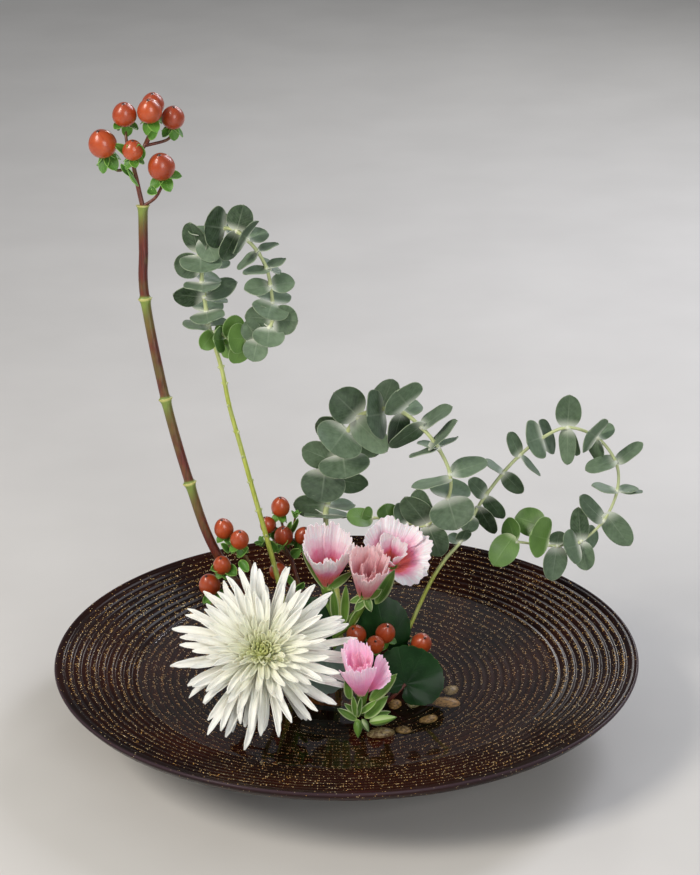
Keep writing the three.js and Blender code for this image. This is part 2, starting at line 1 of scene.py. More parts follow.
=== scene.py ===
"""Ikebana arrangement in a wide glass bowl: the looks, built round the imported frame.

Sizes in the tables are millimetres in the frame of the CAD model; meshes are made in metres.
"""

import logging
import math
from dataclasses import dataclass, field
from enum import Enum
from typing import Any, Callable, Mapping, Optional, Protocol, Sequence

import bmesh
import bpy
import numpy as np
from mathutils import Matrix, Vector


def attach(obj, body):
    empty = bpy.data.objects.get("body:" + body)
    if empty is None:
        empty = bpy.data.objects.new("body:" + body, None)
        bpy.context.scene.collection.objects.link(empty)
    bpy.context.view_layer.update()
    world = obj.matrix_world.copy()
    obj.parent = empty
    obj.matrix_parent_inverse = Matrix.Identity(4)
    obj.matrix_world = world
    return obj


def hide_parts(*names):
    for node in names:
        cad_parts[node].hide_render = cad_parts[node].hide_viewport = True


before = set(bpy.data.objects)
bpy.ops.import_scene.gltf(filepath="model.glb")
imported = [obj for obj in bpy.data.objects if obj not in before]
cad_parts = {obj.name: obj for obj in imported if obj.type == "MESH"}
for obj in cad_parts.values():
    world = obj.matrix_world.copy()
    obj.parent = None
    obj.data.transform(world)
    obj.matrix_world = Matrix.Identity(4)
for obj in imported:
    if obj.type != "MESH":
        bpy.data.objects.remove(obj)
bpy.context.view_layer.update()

log = logging.getLogger("ikebana")

MM = 0.001
ROOT = "root"
SHARP_ANGLE = math.radians(55)
FRONT = np.array([0.0, -0.93, 0.36]) / math.hypot(0.93, 0.36)  # the side the flowers face
UP = np.array([0.0, 0.0, 1.0])
TURN = 2 * math.pi  # once round
WELD = 2e-7  # points nearer than this become one, in metres
EYE = np.array([0.0, -1459.0, 764.0])  # where the arrangement is looked at from

Point = Sequence[float]


# ---- numbers and curves


def linear(colour: str) -> tuple[float, float, float, float]:
    """Turns an sRGB colour into the linear values that shaders use.

    Args:
        colour: "#rrggbb".

    Returns:
        Linear red, green, blue and an alpha of 1.
    """
    parts = [int(colour[i : i + 2], 16) / 255 for i in (1, 3, 5)]
    lit = [c / 12.92 if c <= 0.04045 else ((c + 0.055) / 1.055) ** 2.4 for c in parts]
    return (lit[0], lit[1], lit[2], 1.0)


def unit(vector: Point) -> np.ndarray:
    """Scales a vector to length 1.

    Args:
        vector: any vector that isn't zero.

    Returns:
        The unit vector.
    """
    array = np.asarray(vector, float)
    return array / np.linalg.norm(array)


def across(first: np.ndarray, second: np.ndarray) -> np.ndarray:
    """Gives the unit vector square to two others.

    Args:
        first: a vector.
        second: a vector that isn't parallel to it.

    Returns:
        The unit cross product, first by second.
    """
    return unit(np.cross(first, second))


def smooth(points: Sequence[Point], each: int = 8) -> np.ndarray:
    """Runs a smooth curve through points.

    Args:
        points: the points it passes.
        each: how many steps it takes from one point to the next.

    Returns:
        The curve's points, one row each; row i * each is the i-th point.
    """
    p = np.asarray(points, float)
    p = np.vstack([2 * p[0] - p[1], p, 2 * p[-1] - p[-2]])
    t = np.linspace(0, 1, each, endpoint=False)[:, None]
    rows = []
    for i in range(1, len(p) - 2):
        leave, arrive = (p[i + 1] - p[i - 1]) / 2, (p[i + 2] - p[i]) / 2
        rows.append(
            (2 * t**3 - 3 * t**2 + 1) * p[i]
            + (t**3 - 2 * t**2 + t) * leave
            + (3 * t**2 - 2 * t**3) * p[i + 1]
            + (t**3 - t**2) * arrive
        )
    return np.vstack([*rows, p[-2][None]])


def lengths(path: np.ndarray) -> np.ndarray:
    """Measures how far along a path each of its points is.

    Args:
        path: points, one row each.

    Returns:
        The distance from the first point, for every point.
    """
    return np.concatenate([[0.0], np.cumsum(np.linalg.norm(np.diff(path, axis=0), axis=1))])


def around(sides: int) -> np.ndarray:
    """Spaces angles evenly round a circle.

    Args:
        sides: how many.

    Returns:
        The angles, from 0, in radians.
    """
    return np.linspace(0, TURN, sides, endpoint=False)


def swung(first: np.ndarray, second: np.ndarray, angle: float) -> np.ndarray:
    """Swings one direction towards another that is square to it.

    Args:
        first: the direction at angle 0.
        second: the direction a quarter turn on.
        angle: how far, in radians.

    Returns:
        The direction.
    """
    return math.cos(angle) * first + math.sin(angle) * second


# ---- meshes


class Shape:
    """Collects the faces of one piece. Each point carries a mark of three numbers."""

    def __init__(self) -> None:
        """Starts with nothing in it."""
        self.points: list[np.ndarray] = []
        self.marks: list[np.ndarray] = []
        self.faces: list[np.ndarray] = []
        self.skins: list[np.ndarray] = []
        self.count = 0

    def grid(self, rows: np.ndarray, marks: Any, skin: int = 0, slit: bool = False) -> None:
        """Adds a closed band of faces: rows of points, each row going once round.

        Args:
            rows: points, (rows, round, 3), in millimetres.
            marks: one mark, or one for each point.
            skin: which of the piece's materials it has.
            slit: closes both ends as slits, each row being one side of a sheet and then the other.
        """
        n, m = rows.shape[:2]
        index = np.arange(n * m).reshape(n, m)
        onward = np.roll(index, -1, axis=1)
        faces = [
            np.stack([index[:-1], onward[:-1], onward[1:], index[1:]], -1).reshape(-1, 4)
        ]
        if slit:
            half = m // 2
            for row, turn in ((0, -1), (n - 1, 1)):
                near, far = index[row, :half], index[row, ::-1][:half]
                ends = np.stack([near[:-1], near[1:], far[1:], far[:-1]], -1)
                faces.append(ends[:, ::turn])
        quads = np.vstack(faces) + self.count
        self.points.append(rows.reshape(-1, 3) * MM)
        self.marks.append(np.broadcast_to(np.asarray(marks, float), rows.shape).reshape(-1, 3))
        self.faces.append(quads)
        self.skins.append(np.full(len(quads), skin))
        self.count += n * m

    def sheet(self, surface: np.ndarray, thick: Any, marks: Any, skin: int = 0) -> None:
        """Adds a thin sheet with two sides and a rim.

        Args:
            surface: the middle of the sheet, (rows, columns, 3), in millimetres.
            thick: its thickness, one number or one for each point.
            marks: one mark, or one for each point.
            skin: which of the piece's materials it has.
        """
        down, along = np.gradient(surface, axis=0), np.gradient(surface, axis=1)
        normal = np.cross(down, along)
        size = np.linalg.norm(normal, axis=-1, keepdims=True)
        for row, inner in ((0, 1), (-1, -2)):  # a row that is one point takes its neighbour's
            weak = size[row, :, 0] < 1e-9 + size[inner, :, 0] * 1e-2
            normal[row][weak] = normal[inner][weak]
            size[row][weak] = size[inner][weak]
        normal = normal / np.maximum(size, 1e-12)
        half = normal * np.broadcast_to(np.asarray(thick, float), surface.shape[:2])[..., None] / 2
        rows = np.concatenate([surface + half, (surface - half)[:, ::-1]], axis=1)
        spread = np.broadcast_to(np.asarray(marks, float), surface.shape)
        self.grid(rows, np.concatenate([spread, spread[:, ::-1]], axis=1), skin, slit=True)

    def tube(
        self, path: np.ndarray, radius: Any, sides: int = 10, chance: Any = 0.0, skin: int = 0,
        bumps: Optional[np.ndarray] = None,
    ) -> None:
        """Adds a round stem along a path, marked by distance, angle and chance.

        Args:
            path: points, one row each, in millimetres.
            radius: one number, or one for each point.
            sides: how many points go round it.
            chance: the third number of its marks, one or one for each point.
            skin: which of the piece's materials it has.
            bumps: a factor on the radius for each point and side.
        """
        tangents = np.gradient(path, axis=0)
        tangents /= np.linalg.norm(tangents, axis=1, keepdims=True)
        side = across(tangents[0], UP if abs(tangents[0][2]) < 0.9 else FRONT)
        angle = around(sides)
        radii = np.broadcast_to(np.asarray(radius, float), len(path))
        factor = np.ones((len(path), sides)) if bumps is None else bumps
        far, luck = lengths(path), np.broadcast_to(chance, (len(path), 1))
        rows, marks = [], []
        for i, (point, tangent) in enumerate(zip(path, tangents)):
            side = unit(side - tangent * (side @ tangent))
            other = np.cross(tangent, side)
            ring = np.outer(np.cos(angle), side) + np.outer(np.sin(angle), other)
            rows.append(point + ring * (radii[i] * factor[i])[:, None])
            mark = [np.full(sides, far[i]), angle / TURN, np.full(sides, luck[i])]
            marks.append(np.stack(mark, -1))
        rows = [np.tile(path[0], (sides, 1)), *rows, np.tile(path[-1], (sides, 1))]
        self.grid(np.array(rows), np.array([marks[0], *marks, marks[-1]]), skin)

    def turned(
        self, profile: np.ndarray, at: Point, axis: Point, sides: int = 24, chance: float = 0.0,
        skin: int = 0, bumps: Optional[Callable[[np.ndarray, np.ndarray], np.ndarray]] = None,
    ) -> None:
        """Adds a shape turned about an axis, marked by share of the profile, angle and chance.

        Args:
            profile: (radius, height) from one end to the other, in millimetres.
            at: where height 0 lies.
            axis: which way heights go.
            sides: how many points go round it.
            chance: the third number of its marks.
            skin: which of the piece's materials it has.
            bumps: factor on the radius from the share of the profile and the angle.
        """
        up = unit(axis)
        side = across(up, UP if abs(up[2]) < 0.9 else np.array([0.0, 1.0, 0.0]))
        other = np.cross(up, side)
        angle = around(sides)
        ring = np.outer(np.cos(angle), side) + np.outer(np.sin(angle), other)
        share = lengths(profile) / lengths(profile)[-1]
        far, turn = np.meshgrid(share, angle, indexing="ij")
        radius = profile[:, :1] * (bumps(far, turn) if bumps else np.ones_like(far))
        rows = np.asarray(at, float) + radius[..., None] * ring[None] + profile[:, 1:, None] * up
        self.grid(rows, np.stack([far, turn / TURN, far * 0 + chance], -1), skin)

    def piece(
        self, name: str, slot: str, nodes: Sequence[str], finishes: Sequence["Finish"]
    ) -> bpy.types.Object:
        """Makes the mesh object, puts it on the frame and gives it its materials.

        Args:
            name: the piece's name.
            slot: the record's material slot; not used.
            nodes: the CAD nodes that it stands for.
            finishes: its materials, in the order of the skins.

        Returns:
            The Blender object.
        """
        mesh = bpy.data.meshes.new(name)
        points, faces = np.vstack(self.points), np.vstack(self.faces)
        mesh.from_pydata(points.tolist(), [], faces.tolist())
        mark = mesh.attributes.new("mark", "FLOAT_VECTOR", "POINT")
        mark.data.foreach_set("vector", np.vstack(self.marks).ravel())
        mesh.polygons.foreach_set("material_index", np.concatenate(self.skins).astype("int32"))
        work = bmesh.new()
        work.from_mesh(mesh)
        bmesh.ops.remove_doubles(work, verts=work.verts, dist=WELD)
        bmesh.ops.recalc_face_normals(work, faces=work.faces)
        work.to_mesh(mesh)
        work.free()
        mesh.polygons.foreach_set("use_smooth", np.ones(len(mesh.polygons), bool))
        mesh.set_sharp_from_angle(angle=SHARP_ANGLE)
        piece = bpy.data.objects.new(name, mesh)
        bpy.context.scene.collection.objects.link(piece)
        for finish in finishes:
            mesh.materials.append(material_of(finish))
        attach(piece, ROOT)
        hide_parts(*nodes)
        return piece


# ---- finishes


class Finish(Protocol):
    """Anything that can make its own material."""

    name: str

    def make(self) -> bpy.types.Material:
        """Makes the material.

        Returns:
            The material.
        """


_made: dict[str, bpy.types.Material] = {}  # each finish's material, by name


def material_of(finish: Finish) -> bpy.types.Material:
    """Makes a finish's material once and gives it each time.

    Args:
        finish: the finish.

    Returns:
        Its material.
    """
    if finish.name not in _made:
        _made[finish.name] = finish.make()
    return _made[finish.name]


class Step(Enum):
    """A node's type, the inputs that it is given in order, and its settings."""

    OVER = ("ShaderNodeMix", (0, 6, 7), {"data_type": "RGBA"})
    DARKER = ("ShaderNodeMix", (0, 6, 7), {"data_type": "RGBA", "blend_type": "MULTIPLY"})
    LIGHTER = ("ShaderNodeMix", (0, 6, 7), {"data_type": "RGBA", "blend_type": "SCREEN"})
    TIMES = ("ShaderNodeMath", (0, 1), {"operation": "MULTIPLY"})
    TIMES_PLUS = ("ShaderNodeMath", (0, 1, 2), {"operation": "MULTIPLY_ADD"})
    LESS = ("ShaderNodeMath", (0, 1), {"operation": "SUBTRACT"})
    LARGER = ("ShaderNodeMath", (0, 1), {"operation": "MAXIMUM"})
    ABOVE = ("ShaderNodeMath", (0, 1), {"operation": "GREATER_THAN"})
    POWER = ("ShaderNodeMath", (0, 1), {"operation": "POWER"})
    TO_AND_FRO = ("ShaderNodeMath", (0, 1), {"operation": "PINGPONG"})
    UNSIGNED = ("ShaderNodeMath", (0,), {"operation": "ABSOLUTE"})
    SINE = ("ShaderNodeMath", (0,), {"operation": "SINE"})
    COSINE = ("ShaderNodeMath", (0,), {"operation": "COSINE"})
    RANGE = ("ShaderNodeMapRange", (0, 1, 2, 3, 4), {})
    RELIEF = ("ShaderNodeBump", ("Height", "Distance", "Strength"), {})
    PLACE = ("ShaderNodeTexCoord", (), {})
    STRETCH = ("ShaderNodeMapping", ("Vector", "Scale"), {})
    NOISE = ("ShaderNodeTexNoise", ("Vector", "Scale", "Detail"), {})
    CELLS = ("ShaderNodeTexVoronoi", ("Vector", "Scale"), {})
    MARK = ("ShaderNodeAttribute", (), {"attribute_name": "mark"})
    SPLIT = ("ShaderNodeSeparateXYZ", (0,), {})
    SPLIT_COLOUR = ("ShaderNodeSeparateColor", (0,), {})
    JOIN = ("ShaderNodeCombineXYZ", (0, 1), {})
    RAMP = ("ShaderNodeValToRGB", (0,), {})
    LIGHT_PATH = ("ShaderNodeLightPath", (), {})
    CLEAR = ("ShaderNodeBsdfTransparent", ("Color",), {})
    SURFACE = ("ShaderNodeBsdfPrincipled", (), {})
    EITHER = ("ShaderNodeMixShader", (0, 1, 2), {})
    OUTPUT = ("ShaderNodeOutputMaterial", ("Surface",), {})


class Graph:
    """One material's nodes, ending in a Principled shader."""

    def __init__(self, name: str) -> None:
        """Starts the material.

        Args:
            name: what it is called.
        """
        self.material = bpy.data.materials.new(name)
        self.material.use_nodes = True
        self.tree = self.material.node_tree
        self.tree.nodes.clear()
        self.shader = self.add(Step.SURFACE)
        self.output = self.add(Step.OUTPUT, self.shader)

    def add(self, step: Step, *inputs: Any, **named: Any) -> bpy.types.Node:
        """Adds a node with its settings and links.

        Args:
            step: what it does.
            inputs: what its inputs get, in the step's order: a value, a colour, a socket, or a
                node for its first output.
            named: what other inputs get, by name, with _ for a space.

        Returns:
            The node.
        """
        kind, places, settings = step.value
        node = self.tree.nodes.new(kind)
        for key, value in settings.items():
            setattr(node, key, value)
        for key, value in [*zip(places, inputs), *named.items()]:
            socket = node.inputs[key.replace("_", " ") if isinstance(key, str) else key]
            self.feed(socket, value)
        return node

    def feed(self, socket: bpy.types.NodeSocket, value: Any) -> None:
        """Sets or links one input.

        Args:
            socket: the input.
            value: what it gets, as in add.
        """
        if isinstance(value, bpy.types.Node):
            value = next(output for output in value.outputs if output.enabled)
        if isinstance(value, bpy.types.NodeSocket):
            self.tree.links.new(value, socket)
        else:
            socket.default_value = linear(value) if isinstance(value, str) else value

    def marks(self) -> tuple[Any, Any, Any]:
        """Reads the three numbers that every point of a mesh carries.

        Returns:
            Their sockets.
        """
        mark = self.add(Step.MARK).outputs["Vector"]
        return tuple(self.add(Step.SPLIT, mark).outputs)

    def finish(self, **values: Any) -> bpy.types.Material:
        """Sets the Principled shader's inputs by name, with _ for a space.

        Args:
            values: what each input gets, as in add.

        Returns:
            The material.
        """
        for key, value in values.items():
            self.feed(self.shader.inputs[key.replace("_", " ")], value)
        return self.material


def spots(g: Graph, size: float, low: float, high: float, **inputs: Any) -> bpy.types.Node:
    """Cloudy patches of a real size, from 0 to 1.

    Args:
        g: the material's nodes.
        size: how wide a patch is, in millimetres.
        low: the noise value that gives 0.
        high: the noise value that gives 1.
        inputs: other inputs of the noise.

    Returns:
        The last node.
    """
    place = g.add(Step.PLACE).outputs["Object"]
    noise = g.add(Step.NOISE, place, 1 / (size * MM), **{"Detail": 3.0, **inputs})
    return g.add(Step.RANGE, noise, low, high)


@dataclass(frozen=True)
class BowlGlass:
    """Brown glass, spun, with gold dust fused in: near black between the rings, gold on them, and a
    paler painted highlight along the lip.
    """

    name: str = "brown_glass_spun_with_gold_dust"
    deep: str = "#0c0403"
    warm: str = "#2b0f05"
    plum: str = "#170806"
    crest: str = "#5c300e"
    gold: str = "#ffbf55"
    pale: str = "#fff0c0"
    # a paler grey lilac along the lip: a painted highlight on the glass edge
    lip: str = "#43363c"
    warm_patch: float = 60.0
    plum_patch: float = 90.0
    dust: float = 1.6  # a speck of dust, coarser than a real one so that it shows
    fleck: float = 0.8  # a flake of gold, coarser than a real one so that it shows
    drift: float = 14.0  # patches with more flakes and with fewer
    bare: float = 0.99  # share of the grooves with no flake
    crowd: float = 0.36  # how much less of the crests is bare
    relief: float = 0.1

    def make(self) -> bpy.types.Material:
        """Makes the material.

        Returns:
            The material.
        """
        g = Graph(self.name)
        ridge, _, lip = g.marks()
        body = g.add(Step.OVER, spots(g, self.warm_patch, 0.35, 0.65), self.deep, self.warm)
        veil = spots(g, self.plum_patch, 0.5, 0.75, Detail=1.0)
        body = g.add(Step.OVER, veil, body, self.plum)
        crest = g.add(Step.RANGE, ridge, 0.7, 1.0)
        dust = g.add(Step.RANGE, spots(g, self.dust, 0.4, 0.75), 0.0, 1.0, 0.02, 0.4)
        gilt = g.add(Step.TIMES, crest, dust)
        colour = g.add(Step.OVER, gilt, body, self.crest)
        place = g.add(Step.PLACE).outputs["Object"]
        cells = g.add(Step.CELLS, place, 1 / (self.fleck * MM))
        chance = g.add(Step.SPLIT_COLOUR, cells.outputs["Color"])
        bare = g.add(Step.TIMES_PLUS, crest, -self.crowd, self.bare)
        bare = g.add(Step.TIMES_PLUS, spots(g, self.drift, 0.3, 0.7), -0.05, bare)
        picked = g.add(Step.ABOVE, chance.outputs[0], bare)
        near = g.add(Step.RANGE, cells.outputs["Distance"], 0.44, 0.3)
        fleck = g.add(Step.TIMES, picked, near)
        lustre = g.add(Step.OVER, chance.outputs[1], self.gold, self.pale)
        colour = g.add(Step.OVER, fleck, colour, lustre)
        # lays the lip's painted highlight over the glass
        colour = g.add(Step.OVER, lip, colour, self.lip)
        bright = g.add(Step.LARGER, fleck, g.add(Step.TIMES, gilt, 0.6))
        return g.finish(
            Base_Color=colour,
            Metallic=g.add(Step.TIMES, bright, 0.3),
            Roughness=g.add(Step.RANGE, bright, 0.0, 1.0, 0.22, 0.4),
            IOR=1.45, Specular_IOR_Level=0.06, Coat_Weight=0.03, Coat_Roughness=0.05,
            Normal=g.add(Step.RELIEF, bright, self.relief * MM),
        )


@dataclass(frozen=True)
class StillWater:
    """Clear water, poured and at rest: seen by its reflections."""

    name: str = "clear_water_poured_and_still"
    clear: str = "#e9e4e2"
    shade: str = "#d9d2cf"  # what it leaves of the light that falls through it
    ripples: float = 18.0  # to a metre
    relief: float = 0.25

    def make(self) -> bpy.types.Material:
        """Makes the material.

        Returns:
            The material.
        """
        g = Graph(self.name)
        ripple = g.add(Step.NOISE, Scale=self.ripples, Detail=1.0)
        g.finish(
            Base_Color=self.clear,
            Roughness=0.0,
            IOR=1.33,
            Transmission_Weight=1.0,
            Normal=g.add(Step.RELIEF, ripple, self.relief * MM, 0.25),
        )
        path = g.add(Step.LIGHT_PATH).outputs["Is Shadow Ray"]
        mixed = g.add(Step.EITHER, path, g.shader, g.add(Step.CLEAR, self.shade))
        g.feed(g.output.inputs["Surface"], mixed)
        return g.material


@dataclass(frozen=True)
class Metal:
    """Brass, cast and turned, then tarnished by water: coppery brown with dull patches."""

    name: str = "brass_cast_and_tarnished"
    bright: str = "#a8672f"
    dull: str = "#4a2a18"
    pit: str = "#6a5040"
    patch: float = 6.0
    grain: float = 0.7
    relief: float = 0.08

    def make(self) -> bpy.types.Material:
        """Makes the material.

        Returns:
            The material.
        """
        g = Graph(self.name)
        patches = spots(g, self.patch, 0.35, 0.65)
        grain = spots(g, self.grain, 0.3, 0.7)
        colour = g.add(Step.OVER, patches, self.bright, self.dull)
        pits = g.add(Step.TIMES, grain, 0.4)
        return g.finish(
            Base_Color=g.add(Step.DARKER, pits, colour, self.pit),
            Metallic=g.add(Step.RANGE, patches, 0.0, 1.0, 0.95, 0.6),
            Roughness=g.add(Step.RANGE, patches, 0.0, 1.0, 0.32, 0.6),
            Normal=g.add(Step.RELIEF, grain, self.relief * MM),
        )


@dataclass(frozen=True)
class Plain:
    """A dull, lightly mottled surface: rubber, moulded, or a floor of painted board, rolled."""

    name: str
    light: str
    dark: str
    patch: float
    roughness: float
    relief: float = 0.05
    grain: float = 0.125  # size of its grain, as a share of a patch

    def make(self) -> bpy.types.Material:
        """Makes the material.

        Returns:
            The material.
        """
        g = Graph(self.name)
        patches = spots(g, self.patch, 0.3, 0.7)
        grain = spots(g, self.patch * self.grain, 0.3, 0.7)
        return g.finish(
            Base_Color=g.add(Step.OVER, patches, self.light, self.dark),
            Roughness=self.roughness,
            Normal=g.add(Step.RELIEF, grain, self.relief * MM),
        )


@dataclass(frozen=True)
class Stone:
    """River pebbles, tumbled and wet: amber to grey, banded and glossy."""

    name: str = "pebble_tumbled_and_wet"
    amber: str = "#b98d48"
    grey: str = "#989468"
    dark: str = "#30221a"
    speck: str = "#b09a78"
    band: float = 4.0
    grain: float = 0.6
    relief: float = 0.05

    def make(self) -> bpy.types.Material:
        """Makes the material.

        Returns:
            The material.
        """
        g = Graph(self.name)
        _, _, chance = g.marks()
        body = g.add(Step.OVER, chance, self.amber, self.grey)
        bands = spots(g, self.band, 0.4, 0.62, Distortion=2.5)
        grain = spots(g, self.grain, 0.3, 0.7)
        colour = g.add(Step.OVER, g.add(Step.TIMES, bands, 0.8), body, self.dark)
        specks = g.add(Step.TIMES, grain, 0.15)
        return g.finish(
            Base_Color=g.add(Step.LIGHTER, specks, colour, self.speck),
            Roughness=0.25, Coat_Weight=0.5, Coat_Roughness=0.08,
            Normal=g.add(Step.RELIEF, grain, self.relief * MM),
        )


@dataclass(frozen=True)
class BerrySkin:
    """Hypericum berries, ripe, with a waxy skin: orange red, darker at the tip, very glossy."""

    name: str = "hypericum_berry_ripe_and_waxy"
    ripe: str = "#bf5426"
    deep: str = "#8c2f14"
    tip: str = "#2a0f08"
    patch: float = 7.0
    dimple: float = 0.5
    seams: int = 3  # where its carpels meet
    relief: float = 0.03

    def make(self) -> bpy.types.Material:
        """Makes the material.

        Returns:
            The material.
        """
        g = Graph(self.name)
        share, turn, chance = g.marks()
        blush = spots(g, self.patch, 0.35, 0.7)
        colour = g.add(Step.OVER, g.add(Step.TIMES, blush, 0.45), self.ripe, self.deep)
        colour = g.add(Step.OVER, g.add(Step.TIMES, chance, 0.6), colour, self.deep)
        seams = g.add(Step.SINE, g.add(Step.TIMES, turn, self.seams * TURN))
        colour = g.add(Step.OVER, g.add(Step.RANGE, seams, 0.9, 1.0, 0.0, 0.3), colour, self.deep)
        colour = g.add(Step.OVER, g.add(Step.RANGE, share, 0.93, 0.965), colour, self.tip)
        dimples = spots(g, self.dimple, 0.3, 0.7)
        return g.finish(
            Base_Color=colour,
            Roughness=g.add(Step.RANGE, blush, 0.0, 1.0, 0.3, 0.42),
            Subsurface_Weight=0.12, Subsurface_Radius=(0.004, 0.001, 0.0005), Subsurface_Scale=1.0,
            Coat_Weight=0.35, Coat_Roughness=0.12,
            Normal=g.add(Step.RELIEF, dimples, self.relief * MM),
        )


@dataclass(frozen=True)
class Twig:
    """A grown stem with fine bark: marked 0 where it's old, 0.5 where fresh and 1 at a ring."""

    name: str
    bark: str
    shade: str
    fresh: str
    ring: str
    gloss: float = 0.35
    # side: a painted highlight, the left front, turned to the key lamp, painted greener than the
    # right
    side: float = 0.0  # how much greener its left front is than its right
    streaks: Point = (1100.0, 1100.0, 50.0)  # to a metre, along x, y and z
    patch: float = 14.0
    relief: float = 0.1

    def make(self) -> bpy.types.Material:
        """Makes the material.

        Returns:
            The material.
        """
        g = Graph(self.name)
        _, turn, young = g.marks()
        # painted highlight: the stem's side facing the key lamp, at the left front, is painted
        # greener
        angle = g.add(Step.TIMES_PLUS, turn, TURN, -0.6 * TURN)
        lit = g.add(Step.TIMES_PLUS, g.add(Step.COSINE, angle), self.side, 1.0)
        place = g.add(Step.PLACE).outputs["Object"]
        along = g.add(Step.STRETCH, place, self.streaks)
        streak = g.add(Step.RANGE, g.add(Step.NOISE, along, 1.0), 0.35, 0.65)
        bark = g.add(Step.OVER, g.add(Step.TIMES, streak, 0.7), self.bark, self.shade)
        patches = g.add(Step.RANGE, spots(g, self.patch, 0.45, 0.75), 0.0, 1.0, 0.0, 0.4)
        bark = g.add(Step.OVER, patches, bark, self.fresh)
        fresh = g.add(Step.RANGE, g.add(Step.TIMES, young, lit), 0.05, 0.45)
        colour = g.add(Step.OVER, fresh, bark, self.fresh)
        colour = g.add(Step.OVER, g.add(Step.RANGE, young, 0.6, 0.95), colour, self.ring)
        return g.finish(
            Base_Color=colour,
            Roughness=g.add(Step.RANGE, streak, 0.0, 1.0, self.gloss, self.gloss + 0.16),
            Coat_Weight=0.2, Coat_Roughness=0.25,
            Normal=g.add(Step.RELIEF, streak, self.relief * MM),
        )


@dataclass(frozen=True)
class Blade:
    """A grown leaf, marked along, across and by chance, with veins, a pale rim and a waxy bloom."""

    name: str
    dark: str
    light: str
    rim: str
    foot: str
    vein: str
    veins: float = 9.0  # side veins on each half
    slant: float = 3.5  # how far they run forward
    vein_strength: float = 0.35
    vein_tip: float = 0.3  # how much of that is left at the tip
    chance_share: float = 0.6
    roughness: float = 0.5
    coat: float = 0.0
    gloss: float = 0.5  # how strongly it mirrors
    sheen: float = 0.2
    patch: float = 9.0  # size of its clouds
    foot_reach: float = 0.16
    rim_at: float = 0.9
    rim_strength: float = 0.8
    relief: float = 0.12

    def make(self) -> bpy.types.Material:
        """Makes the material.

        Returns:
            The material.
        """
        g = Graph(self.name)
        far, aside, chance = g.marks()
        wide = g.add(Step.UNSIGNED, aside)
        cloud = spots(g, self.patch, 0.3, 0.7)
        mix = g.add(Step.TIMES, chance, self.chance_share)
        mix = g.add(Step.TIMES_PLUS, cloud, 1 - self.chance_share, mix)
        colour = g.add(Step.OVER, mix, self.dark, self.light)
        wave = g.add(Step.TIMES, wide, -self.slant)
        wave = g.add(Step.TIMES_PLUS, far, self.veins, wave)
        wave = g.add(Step.TO_AND_FRO, wave, 0.5)
        side = g.add(Step.RANGE, wave, 0.09, 0.0)
        mid = g.add(Step.RANGE, wide, 0.06, 0.015)
        fading = g.add(Step.RANGE, far, 0.1, 0.85, 1.0, self.vein_tip)
        rib = g.add(Step.LARGER, g.add(Step.TIMES, side, 0.5), mid)
        rib = g.add(Step.TIMES, rib, fading)
        drawn = g.add(Step.TIMES, rib, self.vein_strength)
        colour = g.add(Step.OVER, drawn, colour, self.vein)
        sides, tip = g.add(Step.RANGE, wide, self.rim_at, 1.0), g.add(Step.RANGE, far, 0.97, 1.0)
        edge = g.add(Step.TIMES, g.add(Step.LARGER, sides, tip), self.rim_strength)
        colour = g.add(Step.OVER, edge, colour, self.rim)
        foot = g.add(Step.POWER, g.add(Step.RANGE, far, self.foot_reach, 0.01), 1.6)
        colour = g.add(Step.OVER, foot, colour, self.foot)
        height = g.add(Step.TIMES_PLUS, cloud, 0.3, rib)
        smooth_at, rough_at = self.roughness - 0.08, self.roughness + 0.08
        return g.finish(
            Base_Color=colour,
            Roughness=g.add(Step.RANGE, cloud, 0.0, 1.0, smooth_at, rough_at),
            Subsurface_Weight=0.06, Subsurface_Radius=(0.002, 0.003, 0.001), Subsurface_Scale=1.0,
            Specular_IOR_Level=self.gloss, Sheen_Weight=self.sheen, Sheen_Roughness=0.4,
            Sheen_Tint="#eef0ec", Coat_Weight=self.coat, Coat_Roughness=0.18,
            Normal=g.add(Step.RELIEF, height, self.relief * MM),
        )


